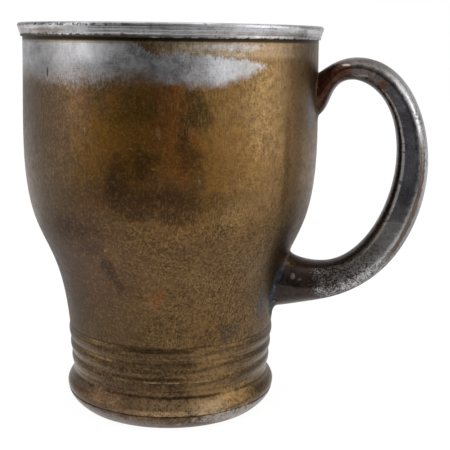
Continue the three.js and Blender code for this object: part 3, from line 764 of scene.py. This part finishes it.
def turned_piece(name, outline, sides, finish, closed=True, crease_degrees=30):
    count = len(outline)
    mesh = bpy.data.meshes.new(name)
    edges = [(i, i + 1) for i in range(count - 1)] + ([(count - 1, 0)] if closed else [])
    mesh.from_pydata([(r * MM, 0, z * MM) for r, z in outline], edges, [])
    piece = bpy.data.objects.new(name, mesh)
    bpy.context.scene.collection.objects.link(piece)
    modifier = piece.modifiers.new("lathe", "NODES")
    modifier.node_group = lathe
    values = {"Sides": sides, "Axis": AXIS, "Finish": finish}
    for item in lathe.interface.items_tree:
        if item.name in values and item.in_out == "INPUT":
            modifier[item.identifier] = values[item.name]
    evaluated = piece.evaluated_get(bpy.context.evaluated_depsgraph_get())
    piece.data = bpy.data.meshes.new_from_object(evaluated)
    piece.modifiers.clear()
    bpy.data.meshes.remove(mesh)
    piece.data.name = name
    finish_mesh(piece.data, crease_degrees)
    print(name, len(piece.data.polygons), "faces,", round(piece.dimensions.z / MM, 2), "mm tall")
    return piece

# %% [markdown]
# ### Outlines
# The tulip's outside is two curves that meet upright at the belly. The same numbers made the
# solid model. Corners of the other outlines are eased a little, because a turned edge that
# has been cleaned for a hundred years is never sharp.

# %% Curves and eased corners
def bezier(points, share):
    a, b, c, d = (np.asarray(p, float) for p in points)
    s = np.asarray(share, float)[:, None]
    return (a * (1 - s) ** 3 + 3 * b * s * (1 - s) ** 2 + 3 * c * s ** 2 * (1 - s) + d * s ** 3)


def eased(corners, steps=5):
    """An outline from corners (radius, height, ease): each ease in mm rounds its corner."""
    points = []
    count = len(corners)
    for i, (r, z, ease) in enumerate(corners):
        here = np.array((r, z))
        if ease == 0:
            points.append(here)
            continue
        before = np.array(corners[i - 1][:2]) - here
        after = np.array(corners[(i + 1) % count][:2]) - here
        room = min(ease, 0.49 * np.linalg.norm(before), 0.49 * np.linalg.norm(after))
        start = here + before / np.linalg.norm(before) * room
        end = here + after / np.linalg.norm(after) * room
        for s in np.linspace(0, 1, steps):
            points.append(start * (1 - s) ** 2 + here * 2 * s * (1 - s) + end * s ** 2)
    return points

# %% Sizes of the turned pieces, in millimetres
MUG_HEIGHT = 122.0
WALL = 1.6
FIT_GAP = 0.3
FOOT_HEIGHT = 12.4
COLLAR_HEIGHT = 14.0
WAIST_RADIUS = 33.35
WAIST_SLOPE = 0.096
BELLY_RADIUS = 46.7
BELLY_HEIGHT = 88.0
MOUTH_RADIUS = 46.2
WALL_FOOT = FOOT_HEIGHT + COLLAR_HEIGHT
WALL_TOP = 119.4
LIP_FOOT = 117.8
NECK_RADIUS = 32.15
SLEEVE_RADIUS = WAIST_RADIUS - WALL - FIT_GAP
BORE_RADIUS = SLEEVE_RADIUS - 0.85
UNDER_RADIUS = BORE_RADIUS - 3.0
TURNED_SIDES, FOOT_SIDES, FLOOR_SIDES = 256, 224, 128
print("bore of the foot:", round(2 * BORE_RADIUS, 2), "mm")

# %% The tulip's side
WAIST_PULL, BELLY_PULL, SHOULDER_PULL = 0.56, 0.61, 0.27  # shares of each curve's height
swell = BELLY_HEIGHT - WALL_FOOT
shoulder = LIP_FOOT - BELLY_HEIGHT
swell_curve = (
    (WAIST_RADIUS, WALL_FOOT),
    (WAIST_RADIUS + WAIST_SLOPE * WAIST_PULL * swell, WALL_FOOT + WAIST_PULL * swell),
    (BELLY_RADIUS, BELLY_HEIGHT - BELLY_PULL * swell),
    (BELLY_RADIUS, BELLY_HEIGHT))
shoulder_curve = (
    (BELLY_RADIUS, BELLY_HEIGHT),
    (BELLY_RADIUS, BELLY_HEIGHT + SHOULDER_PULL * shoulder),
    (MOUTH_RADIUS, LIP_FOOT - SHOULDER_PULL * shoulder),
    (MOUTH_RADIUS, LIP_FOOT))


def tulip_side(offset, swell_steps, shoulder_steps):
    """The outline of the wall, moved outwards by an offset, as rows of radius and height."""
    line = np.vstack((
        bezier(swell_curve, np.linspace(0, 1, swell_steps + 1)),
        bezier(shoulder_curve, np.linspace(0, 1, shoulder_steps + 1)[1:])))
    along = np.gradient(line, axis=0)
    along /= np.linalg.norm(along, axis=1)[:, None]
    return line + offset * np.stack((along[:, 1], -along[:, 0]), axis=1)


tulip_line = tulip_side(0.0, 600, 200)


def tulip_radius(height):
    return np.interp(height, tulip_line[:, 1], tulip_line[:, 0])


print("tulip's side:", round(tulip_radius(60.0), 2), "mm from the axis, 60 mm up")

# %% [markdown]
# ### The wall
# It was raised from one sheet and is open at both ends. Its outline goes up the outside and
# down the inside, and the faces on the inner side get the lining's finish.

# %% Wall
outside = tulip_side(0.0, 80, 30)
inside = tulip_side(-WALL, 60, 20)[::-1]
inside[-1] = (WAIST_RADIUS - WALL, WALL_FOOT)
wall_outline = [(WAIST_RADIUS - 0.18, WALL_FOOT), (WAIST_RADIUS - 0.05, WALL_FOOT + 0.08)]
wall_outline += [tuple(p) for p in outside[1:]]
wall_outline += [(MOUTH_RADIUS, WALL_TOP), (MOUTH_RADIUS - WALL, WALL_TOP)]
wall_outline += [tuple(p) for p in inside]
tulip = turned_piece("tulip_wall_smooth", wall_outline, TURNED_SIDES, finish_tulip)
tulip.data.materials.append(finish_inside)
for face in tulip.data.polygons:
    spot = face.center - AXIS
    middle = (tulip_radius(spot.z / MM) - WALL / 2) * MM
    if math.hypot(spot.x, spot.y) < middle:
        face.material_index = 1
print("faces inside the cup:", sum(f.material_index for f in tulip.data.polygons))

# %% [markdown]
# ### The lip
# A turned ring caps the wall's raw edge. From its foot up it has a small bead, a groove, a
# face that leans outwards, and a rounded upper ridge. A bevel would round all its corners
# alike, and these are worn unevenly, so each corner has its own ease in the outline.

# %% Lip
SKIRT_RADIUS = MOUTH_RADIUS + 0.06
BEAD_RADIUS = 46.88
RIDGE_RADIUS = 47.75
lip_outline = eased([
    (SKIRT_RADIUS, LIP_FOOT, 0),
    (46.7, LIP_FOOT, 0.15),
    (BEAD_RADIUS, LIP_FOOT + 0.45, 0.25),
    (46.82, LIP_FOOT + 0.95, 0.12),
    (46.98, LIP_FOOT + 1.2, 0.2),
    (RIDGE_RADIUS, 121.15, 0.7),
    (47.35, MUG_HEIGHT, 0.5),
    (45.2, MUG_HEIGHT, 0.9),
    (MOUTH_RADIUS - WALL, 121.1, 0.5),
    (MOUTH_RADIUS - WALL, WALL_TOP, 0),
    (SKIRT_RADIUS, WALL_TOP, 0)])
lip = turned_piece("lip_smooth", lip_outline, TURNED_SIDES, finish_lip)

# %% [markdown]
# ### Reeds, foot and floor
# The reeds could be three rings on a tube. They follow a rule, though, and a rule for the
# outline keeps them equal: three arches over the collar's height, on a cone that widens
# from the neck of the foot to the waist of the tulip. A sine gives the arches, and a small
# number under its root rounds the grooves between them, which dirt has filled. The foot is a
# flared band, a fine cut line and a roll that draws in to the neck. The floor is a plain disc.

# %% Reeds
REED_COUNT = 3
REED_RISE = 0.5
REED_STEPS = 18
GROOVE_ROUNDING = 0.02
share = np.linspace(0, 1, REED_COUNT * REED_STEPS + 1)
arch = np.sqrt(np.sin(np.pi * REED_COUNT * share) ** 2 + GROOVE_ROUNDING)
arch -= math.sqrt(GROOVE_ROUNDING)
reeds = np.stack((
    NECK_RADIUS + (WAIST_RADIUS - NECK_RADIUS) * share + REED_RISE * arch,
    FOOT_HEIGHT + COLLAR_HEIGHT * share), axis=1)
SLEEVE_TOP = WALL_FOOT + 4
collar_outline = [tuple(p) for p in reeds] + [
    (SLEEVE_RADIUS, WALL_FOOT), (SLEEVE_RADIUS, SLEEVE_TOP),
    (BORE_RADIUS, SLEEVE_TOP), (BORE_RADIUS, FOOT_HEIGHT)]
collar = turned_piece(
    "reeds_smooth", collar_outline, FOOT_SIDES, finish_foot, crease_degrees=50)

# %% Foot
REST_WIDTH = 2.8
BAND_FLARE = 3.0
EDGE_RADIUS, EDGE_HEIGHT = NECK_RADIUS + 1.85, 4.6
ROLL_RADIUS, ROLL_HEIGHT, ROLL_TOP = NECK_RADIUS + 2.1, 6.4, 11.3
FLOOR_SEAT = 6.0
rest = np.array((UNDER_RADIUS + REST_WIDTH, 0.0))
edge = np.array((EDGE_RADIUS, EDGE_HEIGHT))
pull = np.array((rest[0] + BAND_FLARE, EDGE_HEIGHT / 2))
band = [rest * (1 - s) ** 2 + pull * 2 * s * (1 - s) + edge * s ** 2
        for s in np.linspace(0, 1, 13)]
roll = bezier(((ROLL_RADIUS, ROLL_HEIGHT), (ROLL_RADIUS, 8.03),
               (NECK_RADIUS, 9.67), (NECK_RADIUS, ROLL_TOP)), np.linspace(0, 1, 25))
cut_line = [(EDGE_RADIUS - 0.05, 4.72), (EDGE_RADIUS - 0.25, 4.85), (EDGE_RADIUS - 0.05, 5.0),
            (EDGE_RADIUS + 0.12, 5.3), (EDGE_RADIUS + 0.22, 5.8)]
foot_outline = [(UNDER_RADIUS + 0.15, 0.0)] + [tuple(p) for p in band] + cut_line
foot_outline += [tuple(p) for p in roll]
foot_outline += [(NECK_RADIUS - 0.02, FOOT_HEIGHT - 0.1), (NECK_RADIUS - 0.14, FOOT_HEIGHT)]
foot_outline += [(BORE_RADIUS, FOOT_HEIGHT), (BORE_RADIUS, FLOOR_SEAT)]
foot_outline += [(UNDER_RADIUS, FLOOR_SEAT), (UNDER_RADIUS, 0.15)]
foot = turned_piece("foot_smooth", foot_outline, FOOT_SIDES, finish_foot, crease_degrees=35)

# %% Floor
FLOOR_TOP = FLOOR_SEAT + 1.6
FLOOR_EASE = 0.1
floor_radius = BORE_RADIUS - FIT_GAP
flat = np.linspace(4, floor_radius - FLOOR_EASE, 8)
floor_outline = [(0.0, FLOOR_TOP)] + [(r, FLOOR_TOP) for r in flat]
floor_outline += [(floor_radius, FLOOR_TOP - FLOOR_EASE), (floor_radius, FLOOR_SEAT + FLOOR_EASE)]
floor_outline += [(r, FLOOR_SEAT) for r in flat[::-1]] + [(0.0, FLOOR_SEAT)]
bottom = turned_piece("floor_smooth", floor_outline, FLOOR_SIDES, finish_floor, closed=False)

# %% [markdown]
# ## The cast handle
# A casting like this has no lathe or straight bar behind it: a pattern maker shaped it between
# two drawn lines. We do the same. Two chains of curves, one along the inside of the loop and
# one along the outside, run through five places: upper root, crown, grip, lower arm and lower
# root. One curve with a changing thickness could carry it too, but two lines hold both of its
# silhouettes. At each station between them stands a section, and skinning them gives the
# surface. The section is an oval at the wall. Along the grip it has a domed outer face with a
# ridge on each side, flat sides that lean in, and a narrower inner face.

# %% The handle's two lines
INNER_PLACES = [(None, 94.6), (57.3, 106.0), (71.4, 82.8), (48.7, 48.4), (None, 51.2)]
OUTER_PLACES = [(None, 107.9), (58.4, 112.9), (81.35, 79.3), (50.0, 35.9), (None, 32.5)]
INNER_HEADINGS = [28, 0, -90, -180, -232]
OUTER_HEADINGS = [37, 0, -90, -166, -169]
INNER_PULLS = [(0.34, 0.5), (0.11, 0.72), (0.37, 0.32), (0.31, 0.26)]
OUTER_PULLS = [(0.24, 0.42), (0.38, 0.38), (0.21, 0.5), (0.33, 0.25)]
BURY = 4.0  # each end runs on into the wall this far, to be trimmed there
BURY_STEPS = 12
RUN_STEPS = 60


def handle_line(places, headings, pulls):
    """One line through the five places: a heading at each and two pulls for each run."""
    spots = [np.array((tulip_radius(z) if r is None else r, z)) for r, z in places]
    ways = [np.array((math.cos(math.radians(h)), math.sin(math.radians(h)))) for h in headings]
    share = np.linspace(0, 1, RUN_STEPS + 1)
    runs = [np.linspace(spots[0] - ways[0] * BURY, spots[0], BURY_STEPS + 1)[:-1]]
    for i, (leaving, arriving) in enumerate(pulls):
        length = np.linalg.norm(spots[i + 1] - spots[i])
        curve = (spots[i], spots[i] + ways[i] * leaving * length,
                 spots[i + 1] - ways[i + 1] * arriving * length, spots[i + 1])
        runs.append(bezier(curve, share)[:-1])
    runs.append(np.linspace(spots[-1], spots[-1] + ways[-1] * BURY, BURY_STEPS + 1))
    return np.vstack(runs)


inner_line = handle_line(INNER_PLACES, INNER_HEADINGS, INNER_PULLS)
outer_line = handle_line(OUTER_PLACES, OUTER_HEADINGS, OUTER_PULLS)
print("handle stations:", len(inner_line))

# %% Section of the handle
HANDLE_WIDTHS = [13.2, 11.6, 12.6, 14.2, 16.4]
RIDGE_STRENGTHS = [0, 0.25, 0.9, 0.35, 0]
OUTER_RIDGE = 0.70  # depth of the outer ridges through the handle, from its inner face
INNER_RIDGE = 0.18
INNER_RIDGE_WIDTH = 0.72  # of the handle's width
DOME_STEPS, HOLLOW_STEPS, SIDE_STEPS = 37, 25, 12


def along_places(values):
    """Values at the five places, eased over the stations between them."""
    share = np.linspace(0, 1, RUN_STEPS + 1)[:-1]
    ease = share * share * (3 - 2 * share)
    runs = [np.full(BURY_STEPS, values[0], float)]
    runs += [a + (b - a) * ease for a, b in zip(values[:-1], values[1:])]
    return np.concatenate(runs + [np.full(BURY_STEPS + 1, values[-1], float)])


def unit_section(ridged):
    """Points (depth from 0 inside to 1 outside, side from -1 to 1) round one section."""
    outer = 0.5 + (OUTER_RIDGE - 0.5) * ridged
    inner = 0.5 + (INNER_RIDGE - 0.5) * ridged
    waist = 1 + (INNER_RIDGE_WIDTH - 1) * ridged
    dome = np.linspace(-math.pi / 2, math.pi / 2, DOME_STEPS)
    hollow = np.linspace(math.pi / 2, -math.pi / 2, HOLLOW_STEPS)
    side = np.linspace(0, 1, SIDE_STEPS)[1:-1]
    points = list(zip(outer + (1 - outer) * np.cos(dome), np.sin(dome)))
    points += [(outer + (inner - outer) * s, 1 + (waist - 1) * s) for s in side]
    points += list(zip(inner * (1 - np.cos(hollow)), waist * np.sin(hollow)))
    points += [(inner + (outer - inner) * s, -waist - (1 - waist) * s) for s in side]
    return np.array(points)

# %% [markdown]
# The stations are stacked into a grid: one row for each station, one column, or rail, for each
# point round the section. A few rounds of averaging ease the ridges. Both ends still run
# through the wall, so every rail is followed until it meets the tulip, and the handle starts
# and ends just under the surface there. That is how a fitter files a casting to its seat.

# %% Skinning the handle
EASING_ROUNDS = 6


def handle_grid():
    """Surface points, station by station, and their depth through the handle."""
    widths = along_places(HANDLE_WIDTHS)
    ridges = along_places(RIDGE_STRENGTHS)
    rows, depths = [], []
    for inner, outer, width, ridged in zip(inner_line, outer_line, widths, ridges):
        section = unit_section(ridged)
        flat = inner + section[:, :1] * (outer - inner)
        row = np.stack((flat[:, 0], section[:, 1] * width / 2, flat[:, 1]), axis=1)
        for _ in range(EASING_ROUNDS):
            row = (np.roll(row, 1, axis=0) + 2 * row + np.roll(row, -1, axis=0)) / 4
        rows.append(row)
        depths.append(section[:, 0])
    return np.array(rows), np.array(depths)


def wall_gap(points):
    """Distance in mm outside the tulip's surface, level by level; negative inside it."""
    return np.hypot(points[..., 0], points[..., 1]) - tulip_radius(points[..., 2])


def crossing(gaps, level, from_end):
    """Station, with a fraction, where one rail of the handle leaves the wall."""
    order = range(len(gaps) - 1, 0, -1) if from_end else range(len(gaps) - 1)
    for i in order:
        a, b = (i, i - 1) if from_end else (i, i + 1)
        if gaps[a] <= level < gaps[b]:
            return a + (b - a) * (level - gaps[a]) / (gaps[b] - gaps[a])
    return float(len(gaps) - 1 if from_end else 0)


grid, depth_grid = handle_grid()
RAILS = grid.shape[1]
gaps = wall_gap(grid)


def crossings(level, from_end):
    return np.array([crossing(gaps[:, rail], level, from_end) for rail in range(RAILS)])


SUNK = -0.5
upper_ends, lower_ends = crossings(SUNK, False), crossings(SUNK, True)
upper_skin, lower_skin = crossings(0.0, False), crossings(0.0, True)
print("upper root trimmed at stations", upper_ends.min().round(1), "to",
      upper_ends.max().round(1))


def on_rail(rail, station, table):
    """The value or point of a table at a fractional station of one rail."""
    stations = np.arange(len(table))
    values = table[:, rail]
    if values.ndim == 1:
        return np.interp(station, stations, values)
    return np.stack([np.interp(station, stations, values[:, k]) for k in range(3)], axis=-1)

# %% The handle's mesh
LENGTHWISE = 260


def ring_mesh(name, rings, closed_along, finish):
    """Skins rings of equal length. The last joins the first, or both ends get a cap."""
    count, around = len(rings), len(rings[0])
    points = [tuple(p * MM + np.array(AXIS)) for ring in rings for p in ring]
    faces = []
    for s in range(count if closed_along else count - 1):
        n = (s + 1) % count
        for i in range(around):
            j = (i + 1) % around
            faces.append((s * around + i, s * around + j, n * around + j, n * around + i))
    if not closed_along:
        for s in (0, count - 1):
            points.append(tuple(np.mean(rings[s], axis=0) * MM + np.array(AXIS)))
            hub = len(points) - 1
            faces += [(s * around + i, s * around + (i + 1) % around, hub)
                      for i in range(around)]
    mesh = bpy.data.meshes.new(name)
    mesh.from_pydata(points, [], faces)
    mesh.materials.append(finish)
    piece = bpy.data.objects.new(name, mesh)
    bpy.context.scene.collection.objects.link(piece)
    finish_mesh(mesh, 40)
    print(name, len(mesh.polygons), "faces")
    return piece


share = np.linspace(0, 1, LENGTHWISE)
stations = [upper_ends[rail] + (lower_ends[rail] - upper_ends[rail]) * share
            for rail in range(RAILS)]
handle_rings = np.array([on_rail(rail, stations[rail], grid) for rail in range(RAILS)])
handle_depths = np.array([on_rail(rail, stations[rail], depth_grid) for rail in range(RAILS)])
handle = ring_mesh(
    "handle_smooth", list(handle_rings.transpose(1, 0, 2)), False, finish_handle)

# %% Places along and through the handle, for its finish
for label, values, caps in (
        ("along_handle", np.repeat(share, RAILS), (0.0, 1.0)),
        ("through_handle", handle_depths.T.reshape(-1), (0.5, 0.5))):
    attribute = handle.data.attributes.new(label, "FLOAT", "POINT")
    attribute.data.foreach_set("value", np.concatenate((values, caps)).astype(np.float32))
print("values on the handle:", [a.name for a in handle.data.attributes if "handle" in a.name])

# %% [markdown]
# ## Solder at the roots
# The handle is set on the wall with soft solder, which runs into the corner and leaves a
# hollow fillet. Each fillet is a ring of small arcs: one foot on the wall, the other on the
# handle, and the corner between them pulls the arc inwards. A blob pushed into the corner
# would leave gaps or bulges, while arcs that start on the two surfaces follow both. The real
# one was wiped by hand, so its width wanders.

# %% Solder fillets
SOLDER_DEPTH = 0.4
CORNER_FILL = 0.15


def solder_fillet(name, skin, from_end, spread, climb):
    """A ring round one root: spread on the wall above and below it, climb up the handle."""
    step = -1 if from_end else 1
    corner = np.array([on_rail(j, skin[j], grid) for j in range(RAILS)])
    middle = corner.mean(axis=0)
    rings = []
    for j, here in enumerate(corner):
        radial = np.array((here[0], here[1], 0.0))
        radial /= np.linalg.norm(radial)
        way = here - middle
        way -= radial * way.dot(radial)
        way /= np.linalg.norm(way)
        angle = math.atan2(way[2], way[1])
        wander = 1 + 0.16 * math.sin(3 * angle + 1.0) + 0.1 * math.sin(7 * angle + 2.2)
        below = 0.5 - 0.5 * way[2]
        width = (spread[0] + (spread[1] - spread[0]) * below) * wander
        foot = here + way * width
        foot[:2] *= tulip_radius(foot[2]) / np.linalg.norm(foot[:2])
        top = on_rail(j, skin[j] + step * climb * wander, grid)
        pull = here + radial * CORNER_FILL
        arc = [foot * (1 - s) ** 2 + pull * 2 * s * (1 - s) + top * s ** 2
               for s in np.linspace(0, 1, 9)]
        inward = middle - top
        inward *= SOLDER_DEPTH / np.linalg.norm(inward)
        back = radial * SOLDER_DEPTH
        rings.append(np.array(arc + [top + inward, here + inward - back, foot - back]))
    return ring_mesh(name, rings, True, finish_solder)


upper_solder = solder_fillet("upper_solder_smooth", upper_skin, False, (0.8, 1.6), 3.0)
lower_solder = solder_fillet("lower_solder_smooth", lower_skin, True, (1.0, 2.8), 5.0)

# %% [markdown]
# ## Hang the pieces on the solid model
# Each smooth piece stands for one solid and rides on the mug's only body.

# %% Bodies, solids and slots
pairs = (
    (tulip, "tulip_wall", "tulip_brass"), (lip, "lip_moulding", "lip_silver"),
    (collar, "reeded_collar", "foot_brass"), (foot, "foot_ring", "foot_brass"),
    (bottom, "floor_disc", "floor_brass"), (handle, "handle", "handle_bronze"),
    (upper_solder, "upper_solder", "solder_grey"), (lower_solder, "lower_solder", "solder_grey"))
for piece, node, slot in pairs:
    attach(piece, "root")
    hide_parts(node)
print(len(pairs), "smooth pieces stand for the solids")

# %% [markdown]
# ## Table, room and lamps
# The photograph is a plain studio shot on white. The table and the room are white to the eye
# and in reflections, and only the light that they throw on the mug is held back, so that the
# colours render as they are written. A little of the table's own shading stays mixed in, and
# that keeps the mug's shadow on it.

# %% Helpers for table, room and cards
WHITE = (1, 1, 1, 1)


def seen_directly(tree):
    """One for the eye, reflections and glass, zero for the light that falls on things."""
    path = place(tree, "ShaderNodeLightPath").outputs
    return maths(tree, "MAXIMUM", path["Is Camera Ray"], maths(
        tree, "MAXIMUM", path["Is Glossy Ray"], path["Is Transmission Ray"]))


def bare_material(name):
    material = bpy.data.materials.new(name)
    material.use_nodes = True
    material.node_tree.nodes.clear()
    return material, material.node_tree


def stage_object(name, points, faces, material):
    mesh = bpy.data.meshes.new(name)
    mesh.from_pydata(points, [], faces)
    mesh.materials.append(material)
    thing = bpy.data.objects.new(name, mesh)
    bpy.context.scene.collection.objects.link(thing)
    return thing

# %% Table
TABLE_HALF = 4.0
PAPER, GLOW, GLOW_SHARE = (0.9, 0.9, 0.9, 1.0), 1.08, 0.88
material, tree = bare_material("white_table")
paper = place(tree, "ShaderNodeBsdfDiffuse", {"Color": PAPER})
glow = place(tree, "ShaderNodeEmission", {"Color": WHITE, "Strength": GLOW})
mixed = place(tree, "ShaderNodeMixShader", {
    0: seen_directly(tree) * GLOW_SHARE, 1: paper.outputs[0], 2: glow.outputs[0]})
place(tree, "ShaderNodeOutputMaterial", {"Surface": mixed.outputs[0]})
corners = [(x * TABLE_HALF, y * TABLE_HALF, 0) for x, y in ((-1, -1), (1, -1), (1, 1), (-1, 1))]
stage_object("table", corners, [(0, 1, 2, 3)], material)
print("table:", 2 * TABLE_HALF, "m square")

# %% Room
LIGHT_LEVEL = 0.55
world = bpy.data.worlds.new("studio")
bpy.context.scene.world = world
world.use_nodes = True
tree = world.node_tree
tree.nodes.clear()
level = seen_directly(tree).ramp(0.0, 1.0, LIGHT_LEVEL, 1.0)
room = place(tree, "ShaderNodeBackground", {"Color": WHITE, "Strength": level})
place(tree, "ShaderNodeOutputWorld", {"Surface": room.outputs[0]})
print("light from the room:", LIGHT_LEVEL, "of what the eye sees")

# %% [markdown]
# ## Lamps
# Two tall soft boxes stand at the sides, and a wide one hangs over the mug. All of them aim at
# the mug's upper half, and turns are counted from the camera's side, to its right. A picture
# of a studio all round could light the mug too, but a few lamps can each be moved until their
# bright bands lie where the photograph shows them.

# %% Soft boxes
def around(turn, distance, height):
    """A point round the mug: turn in degrees, distance and height in metres."""
    spin = Matrix.Rotation(math.radians(turn), 4, "Z")
    return AXIS + (spin @ to_camera) * distance + Vector((0, 0, height))


def soft_box(name, turn, distance, height, width, tall, brightness):
    lamp = bpy.data.lights.new(name, "AREA")
    lamp.shape = "RECTANGLE"
    lamp.size = width
    lamp.size_y = tall
    lamp.energy = brightness * math.pi * width * tall
    box = bpy.data.objects.new(name, lamp)
    bpy.context.scene.collection.objects.link(box)
    spot = around(turn, distance, height)
    aim = (AXIS + Vector((0, 0, 0.07)) - spot).to_track_quat("-Z", "Y")
    box.matrix_world = Matrix.Translation(spot) @ aim.to_matrix().to_4x4()


# name, turn, distance, height, width, tall, brightness
soft_box("right_soft_box", 72, 0.75, 0.30, 0.36, 0.70, 1.5)
soft_box("left_soft_box", -80, 0.75, 0.30, 0.30, 0.70, 1.1)
soft_box("top_soft_box", 0, 0.1, 0.9, 0.6, 0.6, 1.0)
print("lamps:", [lamp.name for lamp in bpy.data.lights])

# %% [markdown]
# ## Cards for the reflections
# Polished metal is a mirror, and most of what we read as its shape is the room in it. In the
# photograph the middle of the mug is dark: it mirrors the unlit space round the camera and the
# table in front of it. Curved cards stand in for that space. Each has its own table of shades
# round the mug, and only reflections see them: not the camera, and not the light on the mug.

# %% A card with changing shades
def dim_screen(name, shades, low, high):
    """Shades are (turn, shade) pairs; low and high are (distance, height) of its two edges."""
    turns, values = zip(*shades)
    fine_turns = np.linspace(turns[0], turns[-1], 2 + int(turns[-1] - turns[0]))
    points, faces = [], []
    for i, turn in enumerate(fine_turns):
        points += [tuple(around(turn, *low)), tuple(around(turn, *high))]
        if i:
            faces.append((2 * i - 2, 2 * i, 2 * i + 1, 2 * i - 1))
    material, tree = bare_material(name)
    strength = place(tree, "ShaderNodeAttribute", attribute_name="shade").outputs["Fac"]
    glow = place(tree, "ShaderNodeEmission", {"Color": WHITE, "Strength": strength})
    place(tree, "ShaderNodeOutputMaterial", {"Surface": glow.outputs[0]})
    card = stage_object(name, points, faces, material)
    shade = card.data.attributes.new("shade", "FLOAT", "POINT")
    shade.data.foreach_set("value", np.repeat(
        np.interp(fine_turns, turns, values), 2).astype(np.float32))
    card.visible_camera = card.visible_diffuse = False
    card.visible_shadow = card.visible_transmission = False
    print(name, "shades", min(values), "to", max(values))

# %% The cards
FAR_SHADES = [(-64, 0.75), (-56, 0.55), (-48, 0.38), (-40, 0.22), (-33, 0.08), (-12, 0.06),
              (-3, 0.13), (6, 0.22), (14, 0.34), (22, 0.5), (30, 0.75), (38, 1.0)]
NEAR_SHADES = [(-80, 0.7), (-58, 0.4), (-44, 0.18), (-30, 0.08), (-10, 0.07), (8, 0.10),
               (22, 0.22), (38, 0.5), (52, 0.8), (64, 1.0)]
HIGH_SHADES = [(-64, 0.85), (-46, 0.5), (-30, 0.33), (8, 0.33), (20, 0.5), (38, 1.0)]
WALL_AWAY, NEAR_AWAY, CLOSE_AWAY, UNDER_MUG = 0.9, 0.47, 0.21, 0.06
HORIZON, EYE_LINE, CEILING = 0.001, 0.2, 1.3
ON_TABLE = 0.002
dim_screen("dark_room", FAR_SHADES, (WALL_AWAY, HORIZON), (WALL_AWAY, EYE_LINE))
dim_screen("dim_room_above", HIGH_SHADES, (WALL_AWAY, EYE_LINE), (WALL_AWAY, CEILING))
dim_screen("dark_table_far", FAR_SHADES, (NEAR_AWAY, ON_TABLE), (WALL_AWAY, ON_TABLE))
dim_screen("dark_table_near", NEAR_SHADES, (CLOSE_AWAY, ON_TABLE), (NEAR_AWAY, ON_TABLE))

# %% Grey walls at the sides, and their continuation on the table
for name, shades in (
        ("gap_beside_right_lamp", [(98, 0.35), (124, 0.35)]),
        ("grey_wall_right", [(124, 0.6), (158, 0.6)]),
        ("grey_wall_left", [(-158, 0.52), (-98, 0.52)])):
    dim_screen(name, shades, (WALL_AWAY, HORIZON), (WALL_AWAY, 1.0))
dim_screen("grey_table_left", [(-170, 0.55), (-100, 0.55), (-76, 0.9)],
           (UNDER_MUG, ON_TABLE), (0.2, ON_TABLE))
dim_screen("grey_table_right", [(76, 1.0), (96, 0.6), (165, 0.55)],
           (UNDER_MUG, ON_TABLE), (0.3, ON_TABLE))
